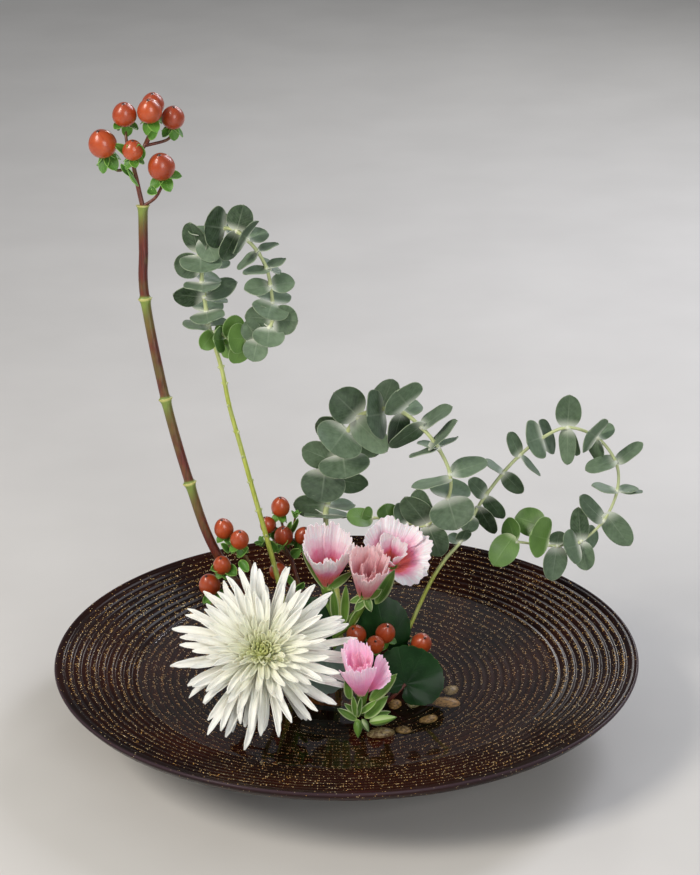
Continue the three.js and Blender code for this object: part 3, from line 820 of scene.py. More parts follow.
@dataclass(frozen=True)
class Petal:
    """A grown petal, thin and moist: coloured from foot to rim, with fine lengthwise veins."""

    name: str
    stops: Sequence[tuple[float, str]]  # colours from foot to rim
    vein: str
    heart: str  # colour of the innermost petals
    veins: float  # how closely they run
    vein_strength: float
    heart_share: float  # how strongly the heart's colour shows in the innermost
    glow: float  # how much light spreads inside
    # a painted glow: the petal gives off its own colour as light, standing in for light through it
    painted_glow: float = 0.0  # light that comes through from behind
    relief: float = 0.1
    patch: float = 5.0

    def make(self) -> bpy.types.Material:
        """Makes the material.

        Returns:
            The material.
        """
        g = Graph(self.name)
        far, aside, chance = g.marks()
        cloud = spots(g, self.patch, 0.3, 0.7)
        shifted = g.add(Step.TIMES_PLUS, cloud, 0.12, g.add(Step.LESS, far, 0.06))
        colour = g.add(Step.RAMP, shifted)
        ramp = colour.color_ramp.elements
        while len(ramp) < len(self.stops):
            ramp.new(0.5)
        for element, (position, shade) in zip(ramp, self.stops):
            element.position, element.color = position, linear(shade)
        inner = g.add(Step.TIMES, chance, self.heart_share)
        colour = g.add(Step.OVER, inner, colour, self.heart)
        beside = g.add(Step.TIMES, aside, self.veins)
        onward = g.add(Step.TIMES, far, 0.8)
        lines = g.add(Step.JOIN, beside, onward)
        fine = g.add(Step.NOISE, lines, 2.0, 3.0)
        vein = g.add(Step.RANGE, fine, 0.42, 0.62)
        drawn = g.add(Step.TIMES, vein, self.vein_strength)
        colour = g.add(Step.OVER, drawn, colour, self.vein)
        # painted glow: emission of the petal's colour, standing in for light shining through the
        # petal
        if self.painted_glow:
            g.finish(Emission_Color=colour, Emission_Strength=self.painted_glow)
        return g.finish(
            Base_Color=colour,
            Roughness=g.add(Step.RANGE, vein, 0.0, 1.0, 0.42, 0.58),
            Subsurface_Weight=self.glow, Subsurface_Radius=(0.003, 0.002, 0.0015),
            Subsurface_Scale=1.0, Sheen_Weight=0.15, Sheen_Roughness=0.3,
            Normal=g.add(Step.RELIEF, vein, self.relief * MM),
        )


BOWL_GLASS = BowlGlass()
WATER = StillWater()
BRASS = Metal()
# soft and dull, nearly black
RUBBER = Plain("rubber_moulded_black", "#1c1d1f", "#101113", 3.0, 0.75)
# pale, even and matt
FLOOR = Plain("studio_floor_of_painted_board", "#d8d6d2", "#d2d0cc", 120.0, 0.7, 0.02)
PEBBLE = Stone()
BERRY = BerrySkin()
# red brown and shiny, green under each straw-coloured ring, with a painted greenish highlight down
# its left front
BARK = Twig("hypericum_bark_grown", "#6a2616", "#34100a", "#76883a", "#bdbb6e", side=0.55)
# thinner, duller red brown
STALK = Twig("hypericum_stalk_grown", "#6b3020", "#46201a", "#7a8440", "#a5a35a", 0.42)
# yellow green low down, pale and floury in the loops
GUM_STEM = Twig("eucalyptus_stem_grown", "#b5c04e", "#8a9838", "#bfc994", "#e2e6d2", 0.45)
# fresh green, satin, with fine long streaks
GREEN_STEM = Twig("flower_stem_grown_green", "#5f7f2c", "#47661f", "#7f9c46", "#9db465", 0.4)
# fresh yellow green, paler along the edge
SEPAL = Blade("hypericum_sepal_grown", "#2f5a17", "#5f9a30", "#8fbf5a", "#7fae45", "#9cc76a", 4.0)
# grey green, painted paler on leaves that face up (a painted highlight), with a fine pale rim
GUM_LEAF = Blade(
    "eucalyptus_leaf_grown_waxy", "#1c2f19", "#73886f", "#a3b194", "#d9dfd2", "#a4b29b",
    vein_strength=0.3, chance_share=0.72, gloss=0.3, sheen=0.05, patch=3.0,
    foot_reach=0.3, rim_at=0.955, rim_strength=0.5,
)
# the young leaves nearest the tip are a fresher green
GUM_YOUNG = Blade(
    "eucalyptus_young_leaf_grown", "#33561f", "#6d9345", "#a5bf85", "#c3d3a6", "#8fae70",
    vein_strength=0.25, roughness=0.42, sheen=0.1, rim_at=0.95, rim_strength=0.55,
)
# yellow green with a broad pale rim
CALYX = Blade(
    "godetia_sepal_grown", "#284f12", "#6c9436", "#dbe8b4", "#a9c26a", "#a9c473", 3.0,
    rim_at=0.72, rim_strength=0.55,
)
# very dark, leathery and glossy, with paler ribs, and painted darker round the middle where the
# stalk joins: painted shade
GALAX = Blade(
    "round_leaf_grown_leathery", "#07170a", "#1b3d1a", "#345c2a", "#0d2410", "#41693a",
    slant=3.0, vein_strength=0.3, roughness=0.42, coat=0.05, gloss=0.16, sheen=0.0,
    patch=7.0, rim_at=0.8, rim_strength=0.35, relief=0.2,
)
# the same leaf painted paler and greyer: a painted grey sheen, as of light glancing off its gloss;
# it too is painted darker round the middle, a painted shade
GALAX_PAINTED_SHEEN = Blade(
    "round_leaf_grown_painted_grey_sheen", "#2c4a38", "#7d9488", "#8aa090", "#4a6a4c", "#8aa090", 6.0,
    slant=2.0, roughness=0.45, coat=0.1, patch=12.0, relief=0.3,
)
CREAMS = ((0.03, "#dfe39a"), (0.26, "#f7f6e6"), (0.9, "#fdfcf7"))
# cream, green at the foot and in the heart
MUM = Petal("chrysanthemum_petal_grown", CREAMS, "#e4e4cf", "#dde37a", 3.0, 0.25, 0.85, 0.15)
PINKS = (
    (0.05, "#c9a85e"), (0.14, "#c9462f"), (0.34, "#d8503f"),
    (0.48, "#ea7fa4"), (0.64, "#f8d0de"), (0.82, "#fffafa"),
)
# coral in the throat, then pink, nearly white at the rim, with a faint painted glow
BLUSH = Petal(
    "godetia_petal_grown_pale", PINKS, "#e79ab8", "#e05f86", 13.0, 0.3, 0.05, 0.42, 0.06, 0.22
)
DUSKS = ((0.05, "#c9a85e"), (0.16, "#c9525c"), (0.45, "#e58a97"), (0.9, "#f7d3d6"))
# a dusty salmon pink, with a faint painted glow
DUSKY = Petal(
    "godetia_petal_grown_dusky", DUSKS, "#dd8d98", "#d0606c", 13.0, 0.3, 0.25, 0.42, 0.07, 0.22
)
ROSES = ((0.04, "#e0b58a"), (0.12, "#e8709c"), (0.42, "#ff9ccb"), (0.9, "#ffd8ec"))
# a clear, bright pink, lifted by a painted glow
ROSE = Petal(
    "godetia_petal_grown_deep", ROSES, "#e07fba", "#ff8fae", 12.0, 0.25, 0.45, 0.45, 0.12, 0.2
)


# ---- bowl, water and pin holder


class Part(Protocol):
    """A sub-assembly: build makes its shapes, dress makes pieces of them."""

    def build(self) -> None:
        """Makes the shapes."""

    def dress(self) -> list[bpy.types.Object]:
        """Makes the pieces with their finishes, and gives them."""


@dataclass
class Bowl:
    """The wide glass bowl, ribbed in rings on both sides of its wall."""

    wall: Sequence[Point] = (  # radius and height, from the floor to the lip
        (66, 18), (84, 22.6), (108, 30.6), (130, 37.7), (152, 43.2), (170, 47.2), (178.2, 49.6),
    )
    floor: float = 18.0
    floor_radius: float = 57.0
    glass: float = 5.0  # thickness
    rib: float = 5.1  # from one ring to the next
    rib_height: float = 0.9
    rib_fade: float = 4.0  # how far from both ends of a line the rings are lower
    inner_step: float = 0.66
    outer_step: float = 0.95
    foot_radius: float = 61.0
    foot_width: float = 8.0
    foot_edge: float = 1.2  # the bevel of its rim
    sides: int = 224
    shape: Shape = field(default_factory=Shape)

    def ribbed(self, line: np.ndarray, side: float, step: float) -> tuple[np.ndarray, np.ndarray]:
        """Swells a line of the profile into rounded rings.

        Args:
            line: (radius, height), from the centre outwards.
            side: 1 to raise them to the left of the line, -1 to the right.
            step: from one point of the result to the next.

        Returns:
            The ribbed line and how near each point is to a ring's crest, 0 to 1.
        """
        far = lengths(line)
        even = np.linspace(0, far[-1], int(far[-1] / step))
        fine = np.stack([np.interp(even, far, line[:, k]) for k in (0, 1)], -1)
        run = np.gradient(fine, axis=0)
        run /= np.linalg.norm(run, axis=1, keepdims=True)
        out = np.stack([-run[:, 1], run[:, 0]], -1) * side
        crest = np.abs(np.sin(math.pi * fine[:, 0] / self.rib)) ** 1.3
        fade = np.clip(np.minimum(even, far[-1] - even) / self.rib_fade, 0, 1)
        return fine + out * (crest * fade * self.rib_height)[:, None], crest * fade

    def build(self) -> None:
        """Makes the shapes."""
        wall = smooth(self.wall, 6)
        start = [[self.floor_radius, self.floor]]
        inside, high = self.ribbed(np.vstack([start, wall]), 1.0, self.inner_step)
        floor = np.stack([np.linspace(4, self.floor_radius - 3, 9), np.full(9, self.floor)], -1)
        outside, low = self.ribbed(wall[3:-3] + [1.2, -self.glass], -1.0, self.outer_step)
        lip = wall[-1] + [[0.8, 0.35], [1.4, 0.1], [1.8, -0.7], [1.3, -2.0]]
        deep, foot, edge = self.floor - self.glass, self.foot_radius, self.foot_edge
        heel = foot - self.foot_width
        below = [[foot + 2.5, deep], [foot + 1, deep - 2], [foot, edge], [foot - edge, 0]]
        below += [[heel + edge, 0], [heel, edge], [heel - 1, deep - 1], [0, deep - 1]]
        profile = np.vstack([[[0, self.floor]], floor, inside, lip, outside[::-1], below])
        first = 1 + len(floor)
        last = first + len(inside)
        crest, rim = np.zeros(len(profile)), np.zeros(len(profile))
        crest[first:last] = high
        crest[last + len(lip) : -len(below)] = low[::-1]
        # marks the lip, where the glass gets its painted highlight
        rim[last : last + len(lip)] = (0.4, 0.9, 0.5, 0.1)
        angle = around(self.sides)
        rows = np.empty((len(profile), self.sides, 3))
        rows[..., :2] = profile[:, :1, None] * np.stack([np.cos(angle), np.sin(angle)], -1)[None]
        rows[..., 2] = profile[:, 1:]
        marks = np.empty_like(rows)
        marks[..., 0] = crest[:, None]
        marks[..., 1] = angle / TURN
        marks[..., 2] = rim[:, None]
        self.shape.grid(rows, marks)

    def dress(self) -> list[bpy.types.Object]:
        """Makes the piece with its finish, and gives it."""
        return [self.shape.piece("bowl_glass", "bowl_glass", ["bowl"], [BOWL_GLASS])]


@dataclass
class Water:
    """Still water, with a slight rise where it meets the glass."""

    level: float = 37.6
    shore: float = 130.4
    rise: float = 0.7
    rise_width: float = 1.6
    depth: Sequence[Point] = ((118, 33), (100, 27), (80, 20.6), (62, 17), (0, 17))
    shape: Shape = field(default_factory=Shape)

    def build(self) -> None:
        """Makes the shapes."""
        flat = [[r, self.level] for r in np.linspace(0, self.shore - 14, 14)]
        for off in (10, 5, 3, 2, 1, 0):
            height = self.level + self.rise * math.exp(-off / self.rise_width)
            flat.append([self.shore - off, height])
        self.shape.turned(np.array([*flat, *self.depth]), (0, 0, 0), UP, sides=144)

    def dress(self) -> list[bpy.types.Object]:
        """Makes the piece with its finish, and gives it."""
        return [self.shape.piece("water", "water", ["water"], [WATER])]


@dataclass
class Kenzan:
    """The pin holder: a heavy disc set with sharp pins, in a rubber ring."""

    centre: Sequence[float] = (-6, -8)
    radius: float = 29.0
    low: float = 18.3
    high: float = 25.0
    pin: float = 11.0
    pin_radius: float = 0.75
    pitch: float = 3.6
    field_radius: float = 27.0  # the pins' field
    sides: int = 72
    pin_sides: int = 7
    body: Shape = field(default_factory=Shape)
    ring: Shape = field(default_factory=Shape)

    def build(self) -> None:
        """Makes the shapes."""
        x, y = self.centre
        r, low, high = self.radius, self.low, self.high
        disc = [[0, low], [r - 0.6, low], [r, low + 0.6], [r, high - 0.9]]
        disc += [[r - 0.3, high - 0.25], [r - 0.9, high], [0, high]]
        self.body.turned(np.array(disc, float), (x, y, 0), UP, self.sides)
        row = self.pitch * math.sin(math.pi / 3)
        reach = int(self.field_radius / row) + 1
        point = np.array([[0, 0], [1, 0], [0.85, 0.6], [0.45, 0.86], [0, 1]])
        spike = point * [self.pin_radius, self.pin]
        for j in range(-reach, reach + 1):
            for i in range(-reach - 2, reach + 3):
                px, py = (i + (j % 2) / 2) * self.pitch, j * row
                if math.hypot(px, py) <= self.field_radius:
                    self.body.turned(spike, (x + px, y + py, high - 0.1), UP, self.pin_sides)
        top = high - 1.2
        band = [[r + 0.3, low], [r + 1.9, low], [r + 2.1, low + 1], [r + 2.1, top - 0.6]]
        band += [[r + 1.6, top], [r + 0.7, top], [r + 0.3, top - 0.4], [r + 0.3, low]]
        self.ring.turned(np.array(band, float), (x, y, 0), UP, self.sides)

    def dress(self) -> list[bpy.types.Object]:
        """Makes the pieces with their finishes, and gives them."""
        body = self.body.piece("kenzan", "kenzan_brass", ["kenzan"], [BRASS])
        return [body, self.ring.piece("kenzan_ring", "rubber", ["kenzan_rubber_ring"], [RUBBER])]


@dataclass
class Pebbles:
    """Wet pebbles on the bowl's floor, beside the kenzan."""

    rows: Sequence[Point] = (  # x, y, length, width, height, turn in degrees, and lift
        (60, -34, 18, 12, 8, -20, 1.5), (49, -56, 12, 9, 6, 30, 2.5), (41, -32, 13, 10, 7, 72, 0),
        (20, -74, 16, 12, 8, 12, 3.1), (33.5, -70, 10, 8, 6, -40, 3.3),
        (29, -33.5, 12, 9, 6, 80, 0), (47, -17, 12, 9, 7, 10, 0), (64, -17, 12, 9, 7, 60, 0.5),
    )
    base: float = 18.8
    lumps: Point = (0.05, 0.035, 0.03)  # as shares of the radius
    seed: int = 11
    shapes: list[Shape] = field(default_factory=list)

    def build(self) -> None:
        """Makes the shapes."""
        draw = np.random.default_rng(self.seed)
        tt, aa = np.meshgrid(np.linspace(0, math.pi, 17), around(28), indexing="ij")
        blunt, (two, three, end) = np.sin(tt) ** 0.85, self.lumps
        for x, y, long, wide, high, turn, lift in self.rows:
            phase = draw.uniform(0, TURN, 6)
            lump = 1 + two * np.sin(2 * aa + phase[0]) * np.sin(tt)
            lump += three * np.sin(3 * aa + phase[1]) * np.sin(tt) + end * np.sin(3 * tt + phase[2])
            lx = blunt * np.cos(aa) * lump * long / 2
            ly = blunt * np.sin(aa) * lump * wide / 2
            lz = np.cos(tt) * high / 2 * lump + self.base + lift + high / 2
            c, s = math.cos(math.radians(turn)), math.sin(math.radians(turn))
            shape = Shape()
            rows = np.stack([x + c * lx - s * ly, y + s * lx + c * ly, lz], -1)
            shape.grid(rows, (0, 0, draw.random()))
            self.shapes.append(shape)

    def dress(self) -> list[bpy.types.Object]:
        """Makes the pieces with their finishes.

        Returns:
            The pieces.
        """
        return [
            shape.piece(f"pebble_stone_{i}", "pebble", [f"pebble_{i}"], [PEBBLE])
            for i, shape in enumerate(self.shapes, 1)
        ]


# ---- leaves and petals


def oval_leaf(
    shape: Shape, base: np.ndarray, axis: np.ndarray, normal: np.ndarray, length: float,
    width: float, draw: np.random.Generator, cup: float, bend: float, point: float = 0.0,
    thick: float = 0.45, skin: int = 0, lobe: float = 0.0, painted_top_light: float = 0.0,
) -> None:
    """Adds a rounded or lance-shaped leaf.

    Args:
        shape: what it is added to.
        base: where it joins its stem.
        axis: which way it runs.
        normal: which way its upper side faces.
        length: from base to tip.
        width: across the widest part.
        draw: random draws.
        cup: how far its sides rise, as a share of the width.
        bend: how far its tip rises, as a share of the length.
        point: 0 for a round leaf, 1 for a lance.
        thick: its thickness.
        skin: which of the piece's materials it has.
        lobe: how much wider it is near its foot, as a share of the width.
        painted_top_light: how much paler it is painted because it faces up, a painted highlight, 0
            to 1.
    """
    side = across(normal, axis)
    t = np.linspace(0, math.pi, 15)
    s = np.linspace(-1, 1, 9)
    far = (1 - np.cos(t)) / 2
    half = np.sin(t) ** (0.84 + 0.58 * point) * (1 - 0.25 * point * far) * (1 + lobe * np.cos(t))
    f, w = np.meshgrid(far, s, indexing="ij")
    h = half[:, None] * w * width / 2
    # the chance mark is pushed towards the light colour by the painted highlight on leaves that
    # face up
    phase, chance = draw.uniform(0, TURN), draw.random() * (1 - painted_top_light) + painted_top_light
    wave = 0.025 * width * np.sin(2.5 * math.pi * f + phase) * w
    rise = cup * width * (w**2) * half[:, None] + bend * length * f**2 + wave
    x = length * (f * (1 - 0.03 * w**2) - 0.3 * lobe * np.abs(w) ** 1.5 * np.exp(-9 * f))
    surface = base + x[..., None] * axis + h[..., None] * side + rise[..., None] * normal
    shape.sheet(surface, thick, np.stack([f, w, f * 0 + chance], -1), skin)


def strap_petal(
    shape: Shape, base: np.ndarray, outward: np.ndarray, face: np.ndarray, lift: float,
    length: float, width: float, curl: float, hook: float, heart: float, draw: np.random.Generator,
) -> None:
    """Adds a long narrow petal, hollowed along its length.

    Args:
        shape: what it is added to.
        base: where it starts.
        outward: which way it leans, square to face.
        face: which way the flower faces.
        lift: angle from the flower's plane at its start, in degrees.
        length: along the petal.
        width: across the widest part.
        curl: how far it bends away from face over its length, in degrees.
        hook: how far its tip bends back towards face, in degrees.
        heart: 1 for the innermost petals and 0 for the outermost.
        draw: random draws.
    """
    steps = 12
    u = np.linspace(0, 1, steps + 1)
    angle = np.radians(lift - curl * u**1.5 + hook * np.clip((u - 0.72) / 0.28, 0, 1) ** 1.5)
    sway = math.radians(draw.normal(0, 12)) * u**2
    side = across(face, outward)
    run = np.cos(angle)[:, None] * outward + np.sin(angle)[:, None] * face
    run = run + np.sin(sway)[:, None] * side
    run /= np.linalg.norm(run, axis=1, keepdims=True)
    gone = np.vstack([[0, 0, 0], np.cumsum((run[1:] + run[:-1]) / 2, axis=0)])
    line = base + gone * length / steps
    twist = math.radians(draw.normal(0, 16)) * u
    flat = np.cos(twist)[:, None] * side + np.sin(twist)[:, None] * np.cross(run, side)
    inner = np.cross(run, flat)
    half = width / 2 * np.interp(u, [0, 0.15, 0.5, 0.75, 0.92, 1], [0.5, 0.6, 1, 1, 0.72, 0.14])
    s = np.linspace(-1, 1, 5)
    hollow = 0.85 * half[:, None] * (s[None] ** 2)
    surface = line[:, None] + (half[:, None] * s)[..., None] * flat[:, None]
    surface = surface + hollow[..., None] * inner[:, None]
    f, w = np.meshgrid(u, s, indexing="ij")
    shape.sheet(surface, 0.45, np.stack([f, w, f * 0 + heart], -1))


@dataclass
class RuffledFlower:
    """One godetia flower: broad, finely pleated petals in a cup, with ruffled rims."""

    base: Point
    mouth: Point
    radius: float
    flare: float = 0.0  # 0 stands up like a bell, 1 opens like a fan
    tilt: float = 20.0  # how far the mouth turns to the front, in degrees
    turn: float = 0.0  # angle of the first petal, in degrees
    leans: Sequence[float] = (0.0,)  # how far each petal leans out, in degrees
    inner: int = 4
    inner_high: Sequence[float] = (0.72, 0.92)
    sizes: Sequence[float] = (1.0,)  # of each petal
    ruffle: float = 1.0
    bell: float = 2.1  # 1 widens evenly like a funnel, more is rounder at the foot
    foot: float = 2.2  # radius where the petals start
    spread: float = 64.0  # half of the angle that a petal covers, in degrees
    inner_spread: float = 48.0
    seed: int = 1
    finish: Finish = BLUSH

    def add(self, shape: Shape) -> None:
        """Adds its petals.

        Args:
            shape: what they are added to.
        """
        draw = np.random.default_rng(self.seed)
        depth = float(np.linalg.norm(np.subtract(self.mouth, self.base)))
        for i in range(4):
            middle = math.radians(self.turn + 90 * i + draw.uniform(-7, 7))
            lean = math.radians(self.leans[i % len(self.leans)])
            size = self.sizes[i % len(self.sizes)]
            high, wide = depth * size * draw.uniform(0.95, 1.08), self.radius * size
            self.petal(shape, draw, high, wide, middle, self.spread * size, lean, 0.0)
        for i in range(self.inner):
            aside = 360 * (i + draw.uniform(-0.15, 0.15)) / self.inner
            middle = math.radians(self.turn + 45 + aside)
            high = depth * draw.uniform(*self.inner_high)
            wide = self.radius * draw.uniform(0.4, 0.6)
            lean = math.radians(draw.uniform(-8, 6))
            self.petal(shape, draw, high, wide, middle, self.inner_spread, lean, 1.0)

    def petal(
        self, shape: Shape, draw: np.random.Generator, depth: float, reach: float, middle: float,
        spread: float, lean: float, heart: float,
    ) -> None:
        """Adds one petal.

        Args:
            shape: what it is added to.
            draw: random draws.
            depth: how far it reaches along the axis.
            reach: the cup's radius at its rim.
            middle: its angle round the axis.
            spread: half of the angle that it covers, in degrees.
            lean: how far it leans out.
            heart: 1 for the innermost petals and 0 for the outermost.
        """
        f, w = np.meshgrid(np.linspace(0, 1, 24), np.linspace(-1, 1, 65), indexing="ij")
        phase = draw.uniform(0, TURN, 8)
        jag = 0.016 * np.sin(23 * w + phase[0]) + 0.016 * np.sin(41 * w + phase[1])
        wave = 0.03 * np.sin(5 * w + phase[2])
        g = f * (1 - 0.16 * np.abs(w) ** 3.5 + (jag + wave) * self.ruffle)
        bell = 1 - (1 - np.minimum(g, 1)) ** self.bell
        opening = (1 - self.flare) * bell + self.flare * 1.1 * g**1.15
        radius = self.foot + (reach - self.foot) * opening
        swing = np.sin(2.6 * w + phase[3]) + 0.7 * np.sin(6.1 * w + phase[4])
        fine = np.sin(25 * w + phase[5] + 2 * np.sin(3 * w)) + 0.7 * np.sin(43 * w + phase[7])
        radius = radius + self.ruffle * reach * g**1.5 * (0.07 * swing + 0.014 * fine)
        height = depth * g * (1 - 0.16 * self.flare * g)
        height = height + self.ruffle * reach * 0.05 * g**3 * np.sin(7 * w + phase[6])
        out = radius * math.cos(lean) + height * math.sin(lean)
        rise = height * math.cos(lean) - radius * math.sin(lean) * g
        base, axis = np.asarray(self.base, float), unit(np.subtract(self.mouth, self.base))
        side = across(np.array([0.0, 1.0, 0.0]), axis)
        other = np.cross(axis, side)
        angle = middle + w * math.radians(spread) * (0.5 + 0.5 * np.minimum(1, g * 1.5))
        tip = np.radians(self.tilt) * g
        back = out * np.sin(angle)
        surface = (
            base
            + (out * np.cos(angle))[..., None] * side
            + (back * np.cos(tip) - rise * np.sin(tip) * 0.35)[..., None] * other
            + (rise * (1 - 0.35 * (1 - np.cos(tip))) + back * np.sin(tip))[..., None] * axis
        )
        shape.sheet(surface, 0.4, np.stack([g, w, f * 0 + heart], -1))


# ---- hypericum


@dataclass(frozen=True)
class Fruit:
    """One berry: its place, its size, the way its tip points, and the way its stalk comes."""

    centre: Point
    radius: float
    tip: Point
    route: Sequence[Point]
    long: float = 1.04  # half its length, as a share of the radius


@dataclass
class Hypericum:
    """A berried stem with ringed nodes, forking stalks, and sepals under every berry."""

    place: str
    radius: Sequence[float]  # at the foot and at the top
    stem: Sequence[Point]
    collars: Sequence[int]  # which points of the stem have a ring
    stalks: Sequence[Sequence[Point]]
    fruits: Sequence[Fruit]
    buds: Sequence[tuple[Point, float, Point]] = ()  # tip, size and root
    leaves: Sequence[tuple[Point, Point, Point, float]] = ()  # foot, tip, facing and width
    seed: int = 1
    step: float = 3.1  # from one row of points to the next, away from the rings
    collar_steps: Sequence[float] = (-5, -3, -1.6, -0.8, -0.25, 0.15, 0.5, 1, 2, 3.5)
    collar_swell: float = 0.32  # as a share of the radius
    sepals: int = 5
    twig: Shape = field(default_factory=Shape)
    berries: list[Shape] = field(default_factory=list)

    def build(self) -> None:
        """Makes the shapes."""
        draw = np.random.default_rng(self.seed)
        self.grow_stem()
        for stalk in self.stalks:
            line = smooth(stalk)
            self.twig.tube(line, np.linspace(1.5, 1.1, len(line)), 9, skin=1)
        for fruit in self.fruits:
            self.fruit(fruit, draw)
        for tip, size, root in self.buds:
            centre, axis = np.asarray(tip, float), unit(np.subtract(tip, root))
            self.twig.tube(smooth([root, tip], 5), 0.7, 7, skin=1)
            for k in range(self.sepals):
                angle = TURN * k / self.sepals
                self.sepal(centre, axis, angle, size * 2.0, size * 1.2, 62, draw)
        for root, end, facing, width in self.leaves:
            foot, tip = np.asarray(root, float), np.asarray(end, float)
            long, along = float(np.linalg.norm(tip - foot)), unit(tip - foot)
            normal = unit(np.asarray(facing, float) - along * np.dot(facing, along))
            args = (foot, along, normal, long, width, draw, 0.3, 0.16, 0.6, 0.4, 2)
            oval_leaf(self.twig, *args)

    def grow_stem(self) -> None:
        """Adds the stem, swollen and paler at its rings."""
        each = 14
        path = smooth(self.stem, each)
        far = lengths(path)
        rings = [far[index * each] for index in self.collars]
        near = [ring + step for ring in rings for step in self.collar_steps]
        steps = np.unique(np.round([*np.arange(0, far[-1], self.step), *near, far[-1]], 2))
        steps = steps[(steps >= 0) & (steps <= far[-1])]
        path = np.stack([np.interp(steps, far, path[:, k]) for k in range(3)], -1)
        radii = np.interp(steps, [0, far[-1]], self.radius)
        young, lips = np.zeros_like(steps), np.zeros_like(steps)
        for ring in rings:
            away = steps - ring
            swell = np.where(away <= 0, np.exp(away / 2.4), np.exp(-away / 0.5))
            radii = radii + self.radius[0] * self.collar_swell * swell
            fresh = np.where(away <= 0, 0.5 * np.exp(away / 9), 0.5 * np.exp(-away / 1.2))
            young = np.maximum(young, fresh + 0.5 * np.exp(-(((away + 0.3) / 1.1) ** 2)))
            lips = np.maximum(lips, np.exp(-((away / 1.3) ** 2)))
        sides = 16
        bumps = 1 + 0.2 * lips[:, None] * np.cos(2 * around(sides))[None]
        self.twig.tube(path, radii, sides, young[:, None], bumps=bumps)

    def sepal(
        self, base: np.ndarray, axis: np.ndarray, angle: float, length: float, width: float,
        rise: float, draw: np.random.Generator,
    ) -> None:
        """Adds one sepal.

        Args:
            base: the end of the stalk.
            axis: which way the berry points.
            angle: its place round the stalk.
            length: from base to tip.
            width: across the widest part.
            rise: angle above the plane across the stalk, in degrees.
            draw: random draws.
        """
        side = across(axis, FRONT + [0.02, 0, 0])
        outward = swung(side, np.cross(axis, side), angle)
        tilt = math.radians(rise + draw.normal(0, 9))
        along, normal = swung(outward, axis, tilt), swung(axis, outward, -tilt)
        size = length * draw.uniform(0.85, 1.12)
        oval_leaf(self.twig, base, along, normal, size, width, draw, 0.14, -0.16, 0.2, 0.4, 2)

    def fruit(self, fruit: Fruit, draw: np.random.Generator) -> None:
        """Adds a berry's stalk and sepals, and the berry as a shape of its own.

        Args:
            fruit: the berry.
            draw: random draws.
        """
        axis, r = unit(np.add(fruit.tip, (0, -0.3, 0))), fruit.radius
        base = np.asarray(fruit.centre, float) - axis * (r * 0.98)
        line = smooth([*fruit.route, base - axis * 3.5, base], 6)
        self.twig.tube(line, np.linspace(1.0, 0.8, len(line)), 8, skin=1)
        knob = np.array([[0, -1.2], [1.1, -0.9], [1.7, 0], [1.2, 0.6], [0, 0.8]])
        self.twig.turned(knob, base, axis, 10, skin=1)
        for k in range(self.sepals):
            angle = TURN * (k + draw.uniform(-0.12, 0.12)) / self.sepals
            rise = draw.uniform(-62, 4)
            self.sepal(base - axis * 0.3, axis, angle, r * 1.32, r * 0.98, rise, draw)
        t = np.linspace(0, math.pi, 22)
        body = np.stack([np.sin(t) * (1 + 0.13 * np.cos(t)), -np.cos(t) * fruit.long], -1)
        body[:, 1] += 0.07 * np.clip((t - 2.3) / 0.8, 0, 1) ** 2
        nib = np.array([[0.06, 0.06], [0.05, 0.09], [0.03, 0.11], [0, 0.115]]) + [0, fruit.long]
        profile = np.vstack([body[:-2], nib]) * r
        berry, furrow = Shape(), draw.uniform(0, TURN)

        def lobes(far: np.ndarray, turn: np.ndarray) -> np.ndarray:
            """Swells the berry a little between its three seams."""
            return 1 + 0.012 * np.cos(3 * turn + furrow) * np.sin(math.pi * far)

        berry.turned(profile, fruit.centre, axis, 32, draw.random(), bumps=lobes)
        self.berries.append(berry)

    def dress(self) -> list[bpy.types.Object]:
        """Makes the pieces with their finishes.

        Returns:
            The pieces.
        """
        node = f"hypericum_{self.place}"
        finishes = [BARK, STALK, SEPAL]
        twig = self.twig.piece(f"{node}_twig", "hypericum_stem", [f"{node}_stem"], finishes)
        return [twig] + [
            berry.piece(f"{node}_fruit_{i}", "berry", [f"{node}_berry_{i}"], [BERRY])
            for i, berry in enumerate(self.berries, 1)
        ]


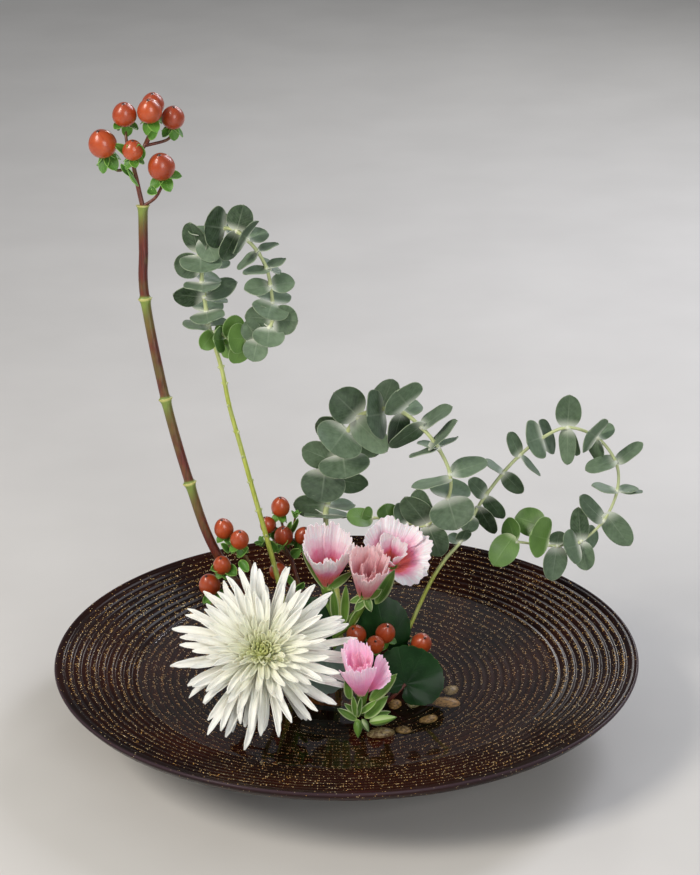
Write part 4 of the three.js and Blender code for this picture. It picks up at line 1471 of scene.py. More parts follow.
HYPERICUMS = (
    Hypericum(
        "tall",
        (2.9, 2.8),
        (
            (-27, -2, 22), (-36, 2, 48), (-58, 4, 80), (-81, 5, 120), (-94, 7, 161),
            (-107, 11, 214), (-117.4, 18, 275), (-117.4, 21, 304), (-117, 24, 331),
        ),
        (4, 5, 6, 8),
        (((-117, 24, 329), (-120, 25, 345), (-121, 24, 357), (-114, 27, 367)),),
        (
            Fruit((-139, 22, 369), 8.3, (-0.25, -0.1, 0.96), ((-121, 24, 356), (-131, 24, 352))),
            Fruit((-126, 27, 385), 7.1, (0, -0.2, 0.98), ((-121, 24, 357), (-125, 27, 367))),
            Fruit((-110, 39, 388), 6.7, (0, -0.15, 0.98), ((-115, 27, 366), (-110, 38, 376))),
            Fruit((-111, 23, 388), 7.2, (-0.05, -0.2, 0.97), ((-114, 27, 366), (-111, 27, 373))),
            Fruit((-98, 32, 381.5), 6.8, (0.1, -0.1, 0.98), ((-114, 27, 366), (-102, 32, 368))),
            Fruit((-121, 16, 366.5), 6.0, (0.05, -0.1, 0.99), ((-121, 23, 355), (-121, 19, 357))),
            Fruit((-105, 18, 356), 8.0, (-0.1, -0.2, 0.97), ((-117, 24, 330), (-109, 23, 336))),
        ),
        leaves=(
            ((-119, 22, 343), (-123, 18, 356), (-0.9, -0.4, 0.1), 7),
            ((-122, 22, 349), (-128, 18, 359), (-0.4, -0.8, 0.3), 5),
            ((-117, 20, 358), (-125, 14, 371), (-0.2, -0.8, 0.6), 7),
            ((-117, 20, 359), (-118, 14, 372), (0.1, -0.8, 0.6), 7),
            ((-117, 22, 359), (-133, 22, 368), (-0.2, -0.8, 0.6), 6.5),
            ((-112, 26, 370), (-106, 24, 377), (0.3, -0.7, 0.6), 5),
            ((-113, 20, 342), (-107, 14, 340), (0.3, -0.9, 0.1), 6),
        ),
        seed=21,
    ),
    Hypericum(
        "left",
        (1.7, 1.2),
        ((-27, -11, 22), (-34, -9, 46), (-44, -5, 74), (-53, -2, 97), (-61, -2, 116)),
        (3,),
        (),
        (
            Fruit((-74, 4, 132), 5.9, (-0.15, -0.1, 0.98), ((-61, -2, 115), (-69, 1, 119)), 1.16),
            Fruit((-64, -6, 129), 5.7, (0.05, -0.2, 0.97), ((-61, -2, 115), (-63, -4, 119)), 1.16),
            Fruit((-75, -8, 113), 5.5, (-0.1, -0.25, 0.96), ((-55, -2, 101), (-67, -4, 101)), 1.16),
            Fruit(
                (-83, -8, 100), 6.5, (-0.25, -0.1, 0.96),
                ((-51, -3, 92), (-66, -6, 87), (-77, -8, 88)), 1.12,
            ),
        ),
        leaves=(
            ((-70.8, -3, 119), (-76.6, -6, 126), (0, -0.6, 0.8), 5),
            ((-69.6, -3, 119), (-62.1, -6, 125), (0, -0.6, 0.8), 5.5),
            ((-66, -3, 116), (-57.9, -5, 123), (-0.2, -0.8, 0.6), 5),
            ((-64.2, -4, 114), (-59.3, -9, 108), (0.2, -0.9, 0.4), 6),
            ((-72.7, -6, 111), (-65.9, -12, 107), (0.1, -0.9, 0.5), 8),
            ((-73.4, -6, 111), (-82.3, -10, 110), (-0.2, -0.8, 0.6), 6.5),
            ((-61, -6, 95.0), (-54.6, -9, 100), (0, -0.8, 0.6), 4.5),
            ((-81.6, -8, 95.5), (-86.5, -12, 88.7), (-0.4, -0.9, 0.2), 4.5),
            ((-80.4, -8, 94.9), (-77.3, -12, 90.0), (0.3, -0.9, 0.2), 5),
        ),
        seed=22,
    ),
    Hypericum(
        "back",
        (1.7, 1.2),
        ((-11, 4, 22), (-18, 11, 50), (-27, 19, 78), (-34, 25, 103)),
        (2,),
        (),
        (
            Fruit((-38, 22, 119), 5.8, (-0.05, -0.2, 0.97), ((-34, 25, 102), (-36, 25, 107)), 1.16),
            Fruit((-48, 32, 122), 5.0, (-0.3, 0, 0.95), ((-34, 25, 102), (-43, 31, 110)), 1.16),
            Fruit((-40, 37, 132), 5.8, (0, 0, 1), ((-34, 25, 102), (-38, 34, 116)), 1.16),
            Fruit((-26, 24, 118), 5.2, (0.3, -0.1, 0.94), ((-34, 25, 102), (-29, 25, 107)), 1.16),
            Fruit((-42, 22, 95), 5.5, (-0.3, -0.2, 0.93), ((-28, 20, 80), (-37, 23, 83)), 1.16),
        ),
        buds=(((-50, 20, 113), 3.3, (-37, 23, 97)), ((-31, 30, 127), 2.6, (-35, 27, 106))),
        leaves=(
            ((-42.9, 22, 108), (-48.8, 18, 119), (0, -0.9, 0.4), 6),
            ((-42.9, 22, 110), (-34.1, 18, 117), (0.2, -0.7, 0.7), 4),
            ((-42.3, 22, 108), (-37.8, 16, 115), (0.2, -0.7, 0.7), 5),
            ((-33.2, 24, 104), (-26.8, 20, 111), (0, -0.9, 0.4), 6.5),
            ((-32, 14, 88.2), (-34.3, 10, 98.9), (-0.3, -0.9, 0.2), 5),
            ((-30.8, 14, 85.5), (-25.7, 10, 94.0), (0.3, -0.9, 0.2), 5),
            ((-34.2, 28, 117), (-29.7, 26, 130), (0.4, -0.8, 0.3), 4),
            ((-35.4, 28, 119), (-32.2, 26, 127), (-0.4, -0.8, 0.3), 3.5),
        ),
        seed=23,
    ),
    Hypericum(
        "front",
        (1.5, 1.2),
        ((9, -14, 22), (12, -15, 42), (14, -16, 58)),
        (1,),
        (),
        (
            Fruit((6, -22, 72), 6.0, (-0.3, -0.3, 0.9), ((14, -16, 57), (10, -18, 60)), 1.16),
            Fruit((24, -20, 72), 6.0, (0.2, -0.3, 0.93), ((14, -16, 57), (20, -17, 61)), 1.16),
            Fruit((17.5, -31, 69.5), 5.5, (0, -0.6, 0.8), ((13, -16, 53), (16, -24, 58)), 1.16),
            Fruit(
                (46, -16, 63), 6.3, (0.3, -0.4, 0.87),
                ((14, -16, 56), (28, -13, 55), (39, -11, 54)),
            ),
        ),
        seed=24,
    ),
)


# ---- eucalyptus


@dataclass
class Eucalyptus:
    """A sprig bent into a loop, with rounded leaves in opposite pairs."""

    place: str
    radius: Sequence[float]  # at the foot and at the tip
    young: int  # the first leaf of a fresher green
    fade: Sequence[float]  # how pale the stem is at its foot and in its loop
    seed: int
    foot: Sequence[Point]  # the bare stem
    nodes: Sequence[Point]  # where its pairs of leaves stand
    leaves: Sequence[Sequence[Any]]  # node or place, tip x, y, z, width, and roll in degrees
    scars: Sequence[float] = ()  # heights of old leaf scars on the bare stem
    node_swell: float = 0.4
    node_width: float = 1.7
    shape: Shape = field(default_factory=Shape)

    def build(self) -> None:
        """Makes the shapes."""
        draw = np.random.default_rng(self.seed)
        each = 7
        path = smooth([*self.foot, *self.nodes], each)
        far = lengths(path)
        radii = np.interp(far, [0, far[-1]], self.radius)
        loop = len(self.foot) * each
        pale = np.interp(far, [far[loop - 2 * each], far[loop]], self.fade)
        for index in range(loop, len(path), each):
            near = np.exp(-(((far - far[index]) / self.node_width) ** 2))
            radii, pale = radii + self.node_swell * near, np.maximum(pale, near)
        self.shape.tube(path, radii, 10, pale[:, None], skin=1)
        for height in self.scars:
            i = int(np.argmin(np.abs(path[:loop, 2] - height)))
            self.scar(path[i], path[i + 1] - path[i - 1], radii[i], draw)
        for k, (start, *tip, width, roll) in enumerate(self.leaves):
            foot = np.array(self.nodes[start] if isinstance(start, int) else start, float)
            skin = 2 if k >= self.young else 0
            self.leaf(foot, np.array(tip, float), width, roll, skin, draw)

    def leaf(
        self, base: np.ndarray, tip: np.ndarray, width: float, roll: float, skin: int,
        draw: np.random.Generator,
    ) -> None:
        """Adds one leaf.

        Args:
            base: where it joins the stem.
            tip: where it ends.
            width: across the widest part.
            roll: how far it turns edge on to the front, in degrees.
            skin: which of the piece's materials it has.
            draw: random draws.
        """
        long, along, front = float(np.linalg.norm(tip - base)), unit(tip - base), unit(EYE - base)
        facing = unit(front - along * (front @ along))
        aside = np.cross(along, facing)
        if aside[2] < 0:
            aside = -aside
        normal = swung(facing, aside, math.radians(roll))
        cup, bend = draw.uniform(0.0, 0.09), draw.uniform(-0.04, 0.1)
        # a leaf that faces up is painted paler: a painted highlight from the light above
        painted_top_light = min(1.0, max(0.0, float(normal[2]) - 0.4) * 1.8)
        args = (base + along * 0.3, along, normal, long, width, draw, cup, bend)
        oval_leaf(self.shape, *args, lobe=0.07, painted_top_light=painted_top_light, skin=skin)

    def scar(
        self, at: np.ndarray, tangent: np.ndarray, radius: float, draw: np.random.Generator
    ) -> None:
        """Adds the two stubs that a lost pair of leaves left on the stem.

        Args:
            at: the stem's point.
            tangent: which way the stem runs.
            radius: the stem's radius there.
            draw: random draws.
        """
        run = unit(tangent)
        aside = across(run, unit(draw.normal(size=3)))
        for out in (aside, -aside):
            root = at + out * (radius * 0.5)
            tip = at + out * (radius + 0.9) + run * 1.3
            line = smooth([root, (root + tip) / 2 + run * 0.2, tip], 3)
            self.shape.tube(line, [0.9, 0.9, 0.85, 0.8, 0.7, 0.55, 0.3], 7, 0.4, skin=1)

    def dress(self) -> list[bpy.types.Object]:
        """Makes the piece with its finishes, and gives it."""
        name, finishes = f"eucalyptus_{self.place}", [GUM_LEAF, GUM_STEM, GUM_YOUNG]
        return [self.shape.piece(name, "eucalyptus", [f"{name}_sprig"], finishes)]


EUCALYPTUSES = (
    Eucalyptus(
        "tall", (1.75, 0.85), 36, (0.0, 0.4), 31,
        (
            (-18, 7, 22), (-25, 8, 42), (-35, 8, 68), (-47, 10, 118), (-56, 12, 154),
            (-63, 13, 183), (-69, 14, 208), (-73, 14, 232),
        ),
        (
            (-80, 14, 259), (-81, 14, 268), (-82, 14, 277), (-83, 13, 287), (-83, 12, 297),
            (-84, 11, 305), (-81, 9, 316), (-69, 4, 322), (-61, -2, 322), (-55, -6, 318),
            (-49, -7, 311), (-44, -8, 301), (-42, -9, 291), (-41, -10, 281), (-41, -13, 272),
            (-43, -14, 267), (-50, -12, 259), (-58, -8, 255), (-66, -4, 256), (-72, 0, 259),
            (-76, 3, 259),
        ),
        (
            (0, -95, 10, 261, 16, 68), (0, -69, 17, 261, 16, 72), (1, -79, -3, 266, 21, 0),
            (1, -81, 31, 270, 20, 0), (2, -100, 10, 280, 18, -48), (2, -62, 16, 284, 20, 56),
            (2, -69, 20, 272, 14, 70), ((-83, 13, 286), -82, -5, 285, 22, 0),
            (3, -81, 29, 288, 21, 0), ((-83, 11, 304), -83, -1, 296, 25, 0),
            (4, -99, 14, 297, 16, -15), (4, -67, 20, 296, 16, 60), (5, -88, 9, 325, 16, -35),
            (6, -74, 6, 302, 16, -12), (6, -86, 18, 319, 15, 40),
            ((-68, 4, 322), -80, -6, 327, 25, 0), (7, -60, 16, 316, 20, 40),
            (8, -57, 0, 337, 16, 10), (8, -70, -5, 306, 14, -35),
            ((-55, -6, 319), -58, -20, 326, 24, 0), (9, -44, 2, 321, 15, 45),
            (10, -37, -4, 315, 15, 74), (10, -61, -10, 302, 15, 70), (11, -33, -3, 305, 14, 70),
            ((-42, -8, 301), -57, -16, 299, 14, 66), (11, -40, 6, 299, 14, 20),
            (12, -57, -13, 290, 15, 48), (12, -28, -7, 292, 15, 40), (13, -40, 4, 285, 21, 0),
            (13, -44, -22, 275, 22, 0), (14, -26, -17, 272, 18, -8), (14, -57, -11, 273, 17, -30),
            (15, -44, -23, 258, 19, 0), (15, -38, -2, 267, 16, 30), (16, -53, -16, 247, 15, 6),
            (16, -57, -9, 269, 13, -20), (17, -65, -6, 243, 13, -30),
            ((-57, -8, 258), -67, -17, 262, 18, 0), (18, -63, 0, 270, 14, -20),
            (18, -70, 1, 244, 10, 30), ((-70, 0, 255), -77, -9, 258, 16, 0),
            (19, -70, 5, 262, 10, 30), (20, -84, -1, 250, 12, -25),
        ),
        scars=(92, 106, 124, 141, 160, 176, 192, 209, 222, 232, 243),
    ),
    Eucalyptus(
        "middle", (2.0, 0.8), 33, (0.1, 0.4), 32,
        (
            (-4, 8, 22), (-4, 14, 48), (-5, 22, 75), (-11, 38, 105),
        ),
        (
            (-12, 42, 124), (-11, 43, 130), (-7, 46, 146), (-3, 46, 159), (1, 44, 176),
            (9, 40, 190), (23, 32, 198), (35, 24, 199), (47, 18, 191), (57, 14, 179), (64, 12, 163),
            (63, 14, 146), (51, 22, 125), (39, 28, 124), (27, 32, 125), (17, 34, 125),
        ),
        (
            (0, -12, 18, 131, 27, 0), (0, -11, 62, 119, 26, 0), (1, -32, 45, 130, 18, -38),
            (1, 6, 46, 127, 18, 68), ((-12, 46, 153), -15, 38, 134, 28, 0),
            (2, 14, 52, 141, 18, -45), ((-1, 46, 163), 1, 34, 151, 32, 0),
            ((-6, 46, 158), -26, 49, 166, 19, -28), ((2, 44, 181), -9, 31, 170, 31, 0),
            (4, 21, 48, 162, 18, -42), (4, -17, 53, 181, 19, -30), (5, -6, 42, 205, 24, 8),
            ((6, 40, 189), 27, 35, 170, 20, -30), ((25, 32, 195), 12, 16, 199, 31, 0),
            (6, 30, 43, 213, 19, 35), ((39, 24, 203), 31, 14, 217, 28, 0), (7, 45, 34, 202, 18, 40),
            (7, 28, 22, 178, 19, -52), (8, 65, 20, 204, 19, 64),
            ((49, 18, 194), 28, 15, 179, 19, -60), ((51, 14, 179), 69, 8, 198, 17, 70),
            (9, 40, 11, 173, 15, 78), (9, 69, 23, 182, 13, 76), (9, 45, 23, 179, 12, 70),
            (10, 87, 14, 170, 18, 50), ((65, 12, 160), 41, 9, 154, 18, 70), (11, 68, 1, 131, 28, 0),
            (11, 66, 28, 153, 26, 0), (12, 37, 20, 145, 20, -34), (12, 59, 19, 105, 18, -14),
            (12, 45, 33, 144, 18, -40), (13, 32, 32, 135, 13, 30), (13, 44, 32, 112, 13, 30),
            (14, 25, 34, 134, 14, 20), (14, 25, 34, 112, 12, 30), (15, 11, 32, 128, 13, 20),
            (15, 1, 28, 128, 14, 30),
        ),
    ),
    Eucalyptus(
        "right", (1.3, 0.8), 32, (0.0, 0.45), 33,
        (
            (18, -3, 22), (25, -2, 36), (32, 0, 50), (40, 6, 65), (52, 14, 89), (62, 20, 103),
        ),
        (
            (71, 25, 112), (79, 30, 127), (87, 34, 139), (98, 37, 153), (108, 38, 164),
            (121, 38, 175), (137, 36, 183), (155, 34, 177), (167, 32, 161), (168, 30, 143),
            (160, 28, 124), (146, 26, 111), (139, 25, 110), (131, 24, 109), (125, 23, 110),
            (105, 20, 114),
        ),
        (
            (0, 75, 22, 122, 10, -40), (0, 64, 28, 115, 9, 40),
            ((82, 30, 134), 93, 34, 114, 13, -42), (1, 75, 24, 119, 12, 20),
            (2, 77, 31, 151, 12, 30), (2, 98, 37, 122, 12, -36), (3, 110, 34, 141, 12, -32),
            (3, 86, 40, 160, 11, 66), (4, 101, 36, 180, 11, 36), (4, 120, 40, 149, 11, 72),
            (4, 104, 43, 165, 7, 50), ((122, 38, 176), 111, 26, 177, 25, 0),
            (5, 130, 50, 173, 23, 0), (6, 138, 37, 204, 16, 0), (6, 138, 33, 160, 14, -42),
            (6, 144, 43, 162, 12, -50), (7, 148, 19, 187, 25, 0), (7, 165, 41, 182, 12, 30),
            (7, 155, 43, 160, 14, 40), (8, 183, 35, 173, 12, 46),
            ((167, 32, 163), 148, 28, 158, 14, 46), (9, 152, 26, 148, 13, 66),
            (9, 181, 32, 143, 13, 68), (9, 184, 35, 140, 12, 74), (10, 143, 25, 141, 14, 40),
            ((161, 28, 129), 177, 31, 105, 16, -18), (11, 144, 28, 133, 12, -15),
            (11, 150, 23, 93, 14, -15), ((145, 25, 109), 135, 15, 111, 22, 0),
            ((147, 26, 110), 157, 36, 114, 15, -30), (13, 128, 21, 87, 16, -25),
            (13, 133, 30, 116, 12, 30), ((126, 23, 114), 113, 13, 122, 26, 0),
            ((123, 23, 123), 106, 32, 125, 18, 0), ((104, 20, 118), 91, 14, 101, 18, -18),
            (15, 101, 29, 126, 15, -40),
        ),
    ),
)


# ---- chrysanthemum


@dataclass(frozen=True)
class PetalRing:
    """One ring of petals: how many, how long and wide, how they rise, bend and hook."""

    count: int
    length: float
    width: float
    lift: float
    curl: float
    hook: float
    heart: float
    start: float  # radius where they leave the head


@dataclass
class Chrysanthemum:
    """The spider chrysanthemum: a head of narrow petals on a thick stem."""

    stem: Sequence[Point] = ((-20, -17, 22), (-28, -30, 45), (-38, -50, 66))
    stem_radius: float = 3.0
    centre: Point = (-49, -85, 92)
    face: Point = (0, -0.79, 0.61)
    rings: Sequence[PetalRing] = (
        PetalRing(21, 49, 4.3, -3, 10, 8, 0.0, 5.5),
        PetalRing(25, 48, 4.4, 6, 14, 12, 0.0, 5.5),
        PetalRing(27, 44, 4.3, 17, 18, 16, 0.02, 5.5),
        PetalRing(27, 38, 4.0, 29, 20, 24, 0.06, 5.2),
        PetalRing(25, 32, 3.6, 41, 20, 36, 0.14, 4.8),
        PetalRing(23, 25, 3.1, 52, 16, 50, 0.3, 4.4),
        PetalRing(21, 18.5, 2.6, 62, 10, 60, 0.5, 3.8),
        PetalRing(19, 13.5, 2.2, 70, 0, 60, 0.75, 3.0),
        PetalRing(15, 10, 1.8, 77, -8, 44, 0.95, 2.1),
        PetalRing(9, 8, 1.5, 82, -10, 30, 1.0, 1.1),
    )
    bracts: int = 22
    seed: int = 41
    green: Shape = field(default_factory=Shape)
    head: Shape = field(default_factory=Shape)

    def build(self) -> None:
        """Makes the shapes."""
        draw = np.random.default_rng(self.seed)
        face, centre = unit(self.face), np.asarray(self.centre, float)
        seat = centre - face * 7
        path = smooth([*self.stem, seat - face * 12, seat], 10)
        far, sides = lengths(path), 20
        swell = np.interp(far, [0, far[-1]], [self.stem_radius, 2.7])
        ribs = 1 + 0.06 * np.cos(5 * around(sides))[None] * np.ones((len(path), 1))
        self.green.tube(path, swell, sides, bumps=ribs)
        cup = np.array([[0, -5], [3, -4.6], [6.5, -2.6], [9, 0.5], [9.4, 2], [8, 2.6], [0, 2.6]])
        self.green.turned(cup, seat, face, 24, skin=1)
        side = across(face, UP)
        other = np.cross(face, side)
        for k in range(self.bracts):
            outward = swung(side, other, TURN * k / self.bracts)
            along = unit(outward * 0.8 + face * 0.35)
            args = (9.5, 4.0, draw, 0.1, 0.05, 0.7, 0.5, 1)
            oval_leaf(self.green, seat + outward * 6 - face * 1.5, along, face, *args)
        dome = np.array([[0, -7], [5, -6.5], [8.5, -4], [8.2, -1], [6, 1.2], [3, 2.2], [0, 2.6]])
        self.head.turned(dome, centre, face, 24, chance=1.0)
        for number, ring in enumerate(self.rings):
            for k in range(ring.count):
                step = k + 0.5 * (number % 2) + draw.uniform(-0.22, 0.22)
                outward = swung(side, other, TURN * step / ring.count)
                strap_petal(
                    self.head,
                    centre + outward * ring.start - face * (5.8 - number * 0.62),
                    outward,
                    face,
                    ring.lift + draw.normal(0, 7),
                    ring.length * draw.uniform(0.8, 1.07),
                    ring.width * draw.uniform(0.85, 1.12),
                    ring.curl + draw.normal(0, 6),
                    ring.hook + draw.normal(0, 8),
                    ring.heart,
                    draw,
                )

    def dress(self) -> list[bpy.types.Object]:
        """Makes the pieces with their finishes.

        Returns:
            The pieces.
        """
        stem, greens = "chrysanthemum_stem", [GREEN_STEM, CALYX]
        stalk = self.green.piece("chrysanthemum_stalk", stem, [stem], greens)
        names = ("chrysanthemum_flower", "chrysanthemum_petal", ["chrysanthemum_head"])
        return [stalk, self.head.piece(*names, [MUM])]


# ---- godetia


@dataclass
class Godetia:
    """A green stem that forks to its flowers, with lance-shaped sepals and buds."""

    place: str
    radius: Sequence[float]
    stem: Sequence[Point]
    flowers: Mapping[str, RuffledFlower]
    routes: Mapping[str, Sequence[Point]]
    buds: Sequence[tuple[Point, Point, float]] = ()  # foot, tip and half width
    leaves: Sequence[tuple[Point, Point, float]] = ()  # foot, tip and width
    seed: int = 1
    green: Shape = field(default_factory=Shape)
    cups: dict[str, Shape] = field(default_factory=dict)

    def build(self) -> None:
        """Makes the shapes."""
        draw = np.random.default_rng(self.seed)
        path = smooth(self.stem, 10)
        self.green.tube(path, np.linspace(*self.radius, len(path)), 14)
        seat = np.array([[0, -9], [1.6, -9], [2.4, -5], [3.4, -1], [4.4, 3], [4.1, 4], [0, 3]])
        for name, flower in self.flowers.items():
            base = np.asarray(flower.base, float)
            axis = unit(np.subtract(flower.mouth, flower.base))
            line = smooth([*self.routes[name], base - axis * 9, base - axis * 1.5])
            self.green.tube(line, np.linspace(1.6, 1.7, len(line)), 12)
            self.green.turned(seat, base - axis, axis, 14)
            self.cups[name] = Shape()
            flower.add(self.cups[name])
        for root, end, half in self.buds:
            along = np.subtract(end, root).astype(float)
            t = np.linspace(0, 1, 16)
            width = half * np.sin(math.pi * t**0.7) ** 0.8
            profile = np.stack([width, t * float(np.linalg.norm(along))], -1)
            self.green.turned(profile, root, along, 16, draw.random(), 1, four_lobes)
        for root, end, width in self.leaves:
            foot, tip = np.asarray(root, float), np.asarray(end, float)
            long, along = float(np.linalg.norm(tip - foot)), unit(tip - foot)
            normal = unit(FRONT - along * (FRONT @ along) + 0.001)
            args = (foot, along, normal, long, width, draw, 0.2, -0.1, 0.85, 0.45, 1)
            oval_leaf(self.green, *args)

    def dress(self) -> list[bpy.types.Object]:
        """Makes the pieces with their finishes.

        Returns:
            The pieces.
        """
        name, greens = f"godetia_{self.place}", [GREEN_STEM, CALYX]
        pieces = [self.green.piece(f"{name}_stalk", "godetia_stem", [f"{name}_stem"], greens)]
        for name, cup in self.cups.items():
            names = (f"godetia_{name}_flower", "godetia_petal", [f"godetia_{name}_corolla"])
            pieces.append(cup.piece(*names, [self.flowers[name].finish]))
        return pieces


def four_lobes(far: np.ndarray, turn: np.ndarray) -> np.ndarray:
    """Swells a bud a little along each of its four seams.

    Args:
        far: share of the bud's length.
        turn: angle round it.

    Returns:
        The factor on its radius.
    """
    return 1 + 0.07 * np.cos(4 * turn) * np.sin(math.pi * far)


GODETIAS = (
    Godetia(
        "spray",
        (2.3, 1.9),
        ((-3, -14, 22), (-5, -14, 46), (-7, -14, 71)),
        {
            "left": RuffledFlower(
                (-11.4, -10, 97.7), (-9.2, -15, 134), 15.0, 0.1, 26, 45,
                leans=(-4, 0, 0, -4), inner=0, ruffle=1.5, bell=1.45, seed=51,
            ),
            "middle": RuffledFlower(
                (11.2, -26, 100), (14.7, -35, 128.5), 11.5, 0.05, 18, 20,
                inner=5, inner_high=(0.72, 0.96), ruffle=1.6, bell=1.35, foot=3.8,
                seed=52, finish=DUSKY,
            ),
            "right": RuffledFlower(
                (27, 4, 105), (31.5, -3.5, 125.5), 19.5, 0.7, 16, 10,
                leans=(10, 0, 0, 8), ruffle=1.2, seed=53,
            ),
        },
        {
            "left": ((-7, -14, 69), (-8, -13, 80)),
            "middle": ((-6, -14, 68), (3, -17, 76)),
            "right": ((-7, -14, 70), (8, 1, 78), (22, 9, 88)),
        },
        leaves=(
            ((-12, -13, 97.7), (-25.6, -17, 124), 5),
            ((-11.4, -14, 98.2), (3.8, -19, 112), 6),
            ((12.1, -27, 99.2), (5.4, -34, 93.3), 6),
            ((12.1, -27, 99.2), (15, -35, 93.7), 5.5),
            ((10.9, -27, 99.3), (2.4, -32, 98.4), 5),
            ((13.3, -27, 99.2), (21.1, -32, 106), 6),
            ((18.1, -25, 93.6), (29, -29, 117), 8.5),
            ((-6.2, -15, 77.1), (-7.8, -20, 101), 6),
            ((-1.3, -15, 75.7), (0.1, -21, 103), 6),
            ((1.7, -16, 73.4), (9.7, -24, 91.9), 5),
        ),
        seed=54,
    ),
    Godetia(
        "low",
        (2, 1.8),
        ((6, -26, 22), (7, -46, 40), (8, -70, 46)),
        {
            "front": RuffledFlower(
                (8.6, -92, 68), (6.5, -97, 96.5), 10.6, 0.0, 16, 0,
                leans=(30, 0, -4, 2), inner=6, inner_high=(0.72, 0.99),
                sizes=(0.74, 1, 1.02, 1), ruffle=1.6, bell=1.8, foot=3.6, seed=55, finish=ROSE,
            )
        },
        {"front": ((8, -68, 46), (10, -84, 50))},
        buds=(
            ((6.3, -94, 51.8), (6.2, -98, 41.4), 2.5),
            ((8.7, -94, 51.8), (12.7, -97, 44.8), 2.3),
            ((12.8, -94, 49.8), (29.1, -97, 54.4), 3.2),
        ),
        leaves=(
            ((1.8, -94, 64.9), (-0.4, -98, 79.3), 5.5),
            ((13.4, -94, 63.5), (28.6, -97, 81.7), 8),
            ((5.2, -94, 53.1), (3.5, -98, 68.3), 4),
            ((6.4, -94, 53.1), (8.2, -99, 68.1), 3.2),
            ((7.5, -94, 55.7), (16.9, -98, 65.5), 4.2),
            ((10.5, -93, 51.9), (23.3, -96, 67.0), 7.5),
            ((12.2, -92, 51.3), (25.1, -94, 56.2), 5),
            ((5.8, -94, 51.2), (-5.3, -97, 60.0), 5),
            ((6.4, -93, 54.6), (-1.2, -96, 62.7), 4),
        ),
        seed=56,
    ),
)


# ---- round leaves


@dataclass
class RoundLeaf:
    """A leathery, nearly round leaf with a notch at its petiole."""

    number: int
    petiole: Sequence[Point]
    way: Point
    facing: Point
    length: float
    width: float
    finish: Finish = GALAX
    outline: Sequence[float] = (1, 0.97, 0.84, 0.7, 0.58, 0.46, 0.34)  # reach, from tip to notch
    seed: int = 1
    notch: float = 168.0  # angle from the tip to the side of the notch, in degrees
    ribs: float = 9.0  # folds round the whole leaf
    scallops: float = 26.0  # teeth to a turn
    shape: Shape = field(default_factory=Shape)

    def build(self) -> None:
        """Makes the shapes."""
        draw = np.random.default_rng(self.seed)
        path = smooth(self.petiole, 10)
        self.shape.tube(path, np.linspace(1.3, 1.1, len(path)), 10, skin=1)
        along = unit(self.way)
        side = across(np.asarray(self.facing, float), along)
        normal = np.cross(along, side)
        theta = np.radians(np.linspace(-self.notch, self.notch, 73))
        p, a = np.meshgrid(np.linspace(0, 1, 20), theta, indexing="ij")
        bare = np.degrees(np.abs(a))
        reach = np.interp(bare, [0, 30, 60, 90, 120, 150, self.notch], self.outline)
        sides = self.width / self.length / (2 * self.outline[3])
        stretch = np.interp(bare, [0, 90, self.notch], [1, sides, 1])
        scallop = 1 + 0.018 * np.sin(self.scallops * a) * p**4
        r = p * reach * stretch * self.length * scallop
        fold = np.cos(a * self.ribs / 2) ** 2
        phase = draw.uniform(0, TURN)
        rise = self.length * (
            0.008 * fold * np.sin(math.pi * np.clip(p, 0, 1) ** 0.8)
            + 0.07 * np.sin(2 * a + phase) * p**2
            + 0.03 * np.sin(5 * a + phase * 2) * p**3
            - 0.09 * p**2
        )
        surface = path[-1] + (r * np.cos(a))[..., None] * along + (r * np.sin(a))[..., None] * side
        surface = surface + rise[..., None] * normal
        aside = 0.75 * np.sin(a * self.ribs / 2) * np.minimum(1, 4 * p)
        marks = np.stack([0.06 + 0.94 * p, aside, p * 0 + draw.random()], -1)
        self.shape.sheet(surface, 0.5, marks)

    def dress(self) -> list[bpy.types.Object]:
        """Makes the piece with its finishes, and gives it."""
        name, finishes = f"round_leaf_{self.number}", [self.finish, STALK]
        return [self.shape.piece(f"{name}_blade", "round_leaf", [name], finishes)]


ROUND_LEAVES = (
    RoundLeaf(
        1, ((9, -20, 22), (20, -36, 30), (27, -48, 42), (35.5, -46, 50)),
        (0.5, 0.57, 0.66), (0.08, -0.78, 0.62), 24.5, 40,
        outline=(1, 1, 0.97, 0.84, 0.58, 0.42, 0.3), seed=61,
    ),
    RoundLeaf(
        2, ((5, -3, 22), (16, -6, 40), (25, -8, 56)),
        (-0.2, 0.2, 0.95), (-0.05, -0.97, 0.2), 34, 25, seed=62,
    ),
    # this leaf's grey is a painted sheen
    RoundLeaf(
        3, ((-12, -22, 22), (-12, -30, 46), (-11, -37, 64)),
        (-0.3, -0.45, -0.5), (-0.2, -0.7, 0.65), 24, 26,
        finish=GALAX_PAINTED_SHEEN, outline=(1, 0.97, 0.84, 0.7, 0.6, 0.5, 0.4), seed=63,
    ),
    RoundLeaf(
        4, ((-9, -2, 22), (-13, -4, 46), (-17, -5, 66)),
        (-0.2, 0.1, 0.95), (-0.1, -0.95, 0.2), 22, 20, seed=64,
    ),
)


# ---- studio


@dataclass(frozen=True)
class Lamp:
    """A soft rectangular lamp that points at the arrangement."""

    name: str
    at: Point
    size: Sequence[float]
    power: float
    colour: str = "#ffffff"


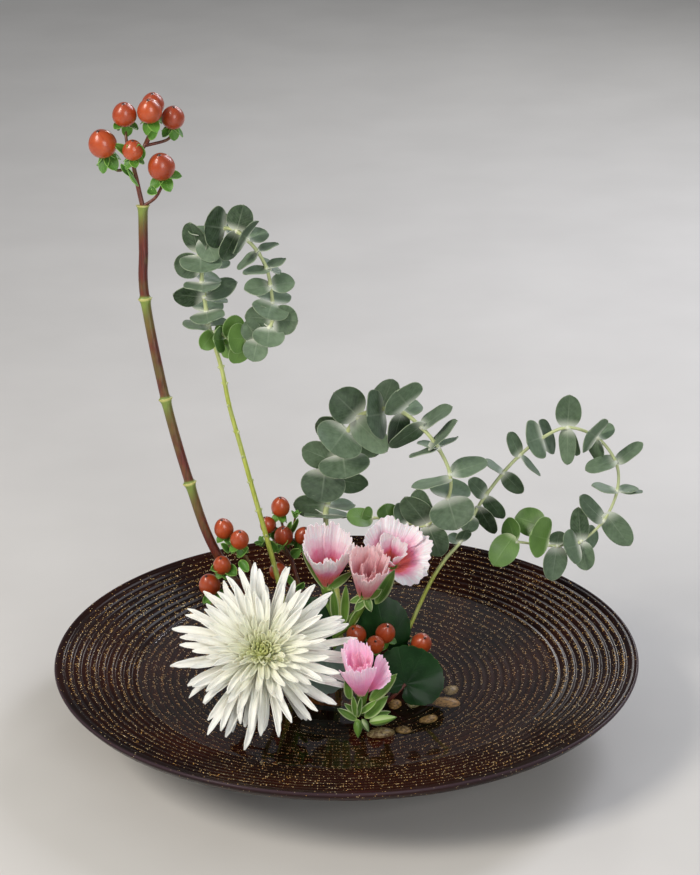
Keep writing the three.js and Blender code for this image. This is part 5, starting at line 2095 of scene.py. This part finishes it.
@dataclass
class Studio:
    """The floor, the lamps, the surroundings and the camera."""

    camera_at: Point = (0.0, -1.4588, 0.764)  # in metres, as are all places here
    pitch: float = 21.41
    yaw: float = 0.136
    roll: float = -0.55
    lens: float = 107.6
    sensor: float = 36.0
    clip: Sequence[float] = (0.05, 50.0)
    floor_radius: float = 9.0
    sky: str = "#eef0f4"
    glow: float = 0.27
    lamps: Sequence[Lamp] = (
        Lamp("key", (-1.1, -0.8, 1.2), (0.6, 0.6), 21.0, "#fff8ee"),
        Lamp("rim", (0.9, 0.9, 1.1), (0.5, 0.8), 12.0, "#f2f4ff"),
        Lamp("fill", (0.6, -1.7, 0.75), (0.8, 0.8), 13.0),
        Lamp("window", (0.42, 1.9, 0.9), (0.22, 0.3), 3.0),
    )
    aim: Point = (0.0, 0.0, 0.12)

    def build(self) -> None:
        """Makes the floor, the lamps and the camera."""
        scene = bpy.context.scene
        mesh = bpy.data.meshes.new("studio_floor")
        work = bmesh.new()
        bmesh.ops.create_circle(work, cap_ends=True, radius=self.floor_radius, segments=96)
        work.to_mesh(mesh)
        work.free()
        floor = bpy.data.objects.new("studio_floor", mesh)
        scene.collection.objects.link(floor)
        mesh.materials.append(material_of(FLOOR))
        for lamp in self.lamps:
            light = bpy.data.lights.new(lamp.name, "AREA")
            light.shape = "RECTANGLE"
            light.size, light.size_y = lamp.size
            light.energy = lamp.power
            light.color = linear(lamp.colour)[:3]
            holder = bpy.data.objects.new(lamp.name, light)
            holder.location = lamp.at
            way = Vector(self.aim) - Vector(lamp.at)
            holder.rotation_euler = way.to_track_quat("-Z", "Y").to_euler()
            scene.collection.objects.link(holder)
        self.camera(scene)

    def camera(self, scene: bpy.types.Scene) -> None:
        """Makes the camera.

        Args:
            scene: the scene that it belongs to.
        """
        pitch, yaw, roll = (math.radians(v) for v in (self.pitch, self.yaw, self.roll))
        level = math.cos(pitch)
        ahead = Vector((math.sin(yaw) * level, math.cos(yaw) * level, -math.sin(pitch)))
        right = Vector((math.cos(yaw), -math.sin(yaw), 0))
        up = right.cross(ahead)
        x = right * math.cos(roll) + up * math.sin(roll)
        y = up * math.cos(roll) - right * math.sin(roll)
        data = bpy.data.cameras.new("camera")
        data.lens, data.sensor_width = self.lens, self.sensor
        data.clip_start, data.clip_end = self.clip
        camera = bpy.data.objects.new("camera", data)
        turn = Matrix((x, y, -ahead)).transposed().to_4x4()
        camera.matrix_world = Matrix.Translation(self.camera_at) @ turn
        scene.collection.objects.link(camera)
        scene.camera = camera

    def dress(self) -> list[bpy.types.Object]:
        """Sets the light that comes from all round.

        Returns:
            Nothing, because none of the arrangement's pieces is made here.
        """
        world = bpy.data.worlds.new("soft_surroundings")
        world.use_nodes = True
        back = world.node_tree.nodes["Background"]
        back.inputs["Color"].default_value = linear(self.sky)
        back.inputs["Strength"].default_value = self.glow
        bpy.context.scene.world = world
        bpy.context.scene.view_settings.view_transform = "Standard"
        return []


def main() -> None:
    """Builds every sub-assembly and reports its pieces."""
    logging.basicConfig(level=logging.INFO, format="%(message)s")
    parts: list[Part] = [Studio(), Bowl(), Water(), Kenzan(), Pebbles(), *HYPERICUMS]
    parts += [*EUCALYPTUSES, Chrysanthemum(), *GODETIAS, *ROUND_LEAVES]
    for part in parts:
        part.build()
        for piece in part.dress():
            log.info("%s: %d faces", piece.name, len(piece.data.polygons))


if __name__ == "__main__":
    main()
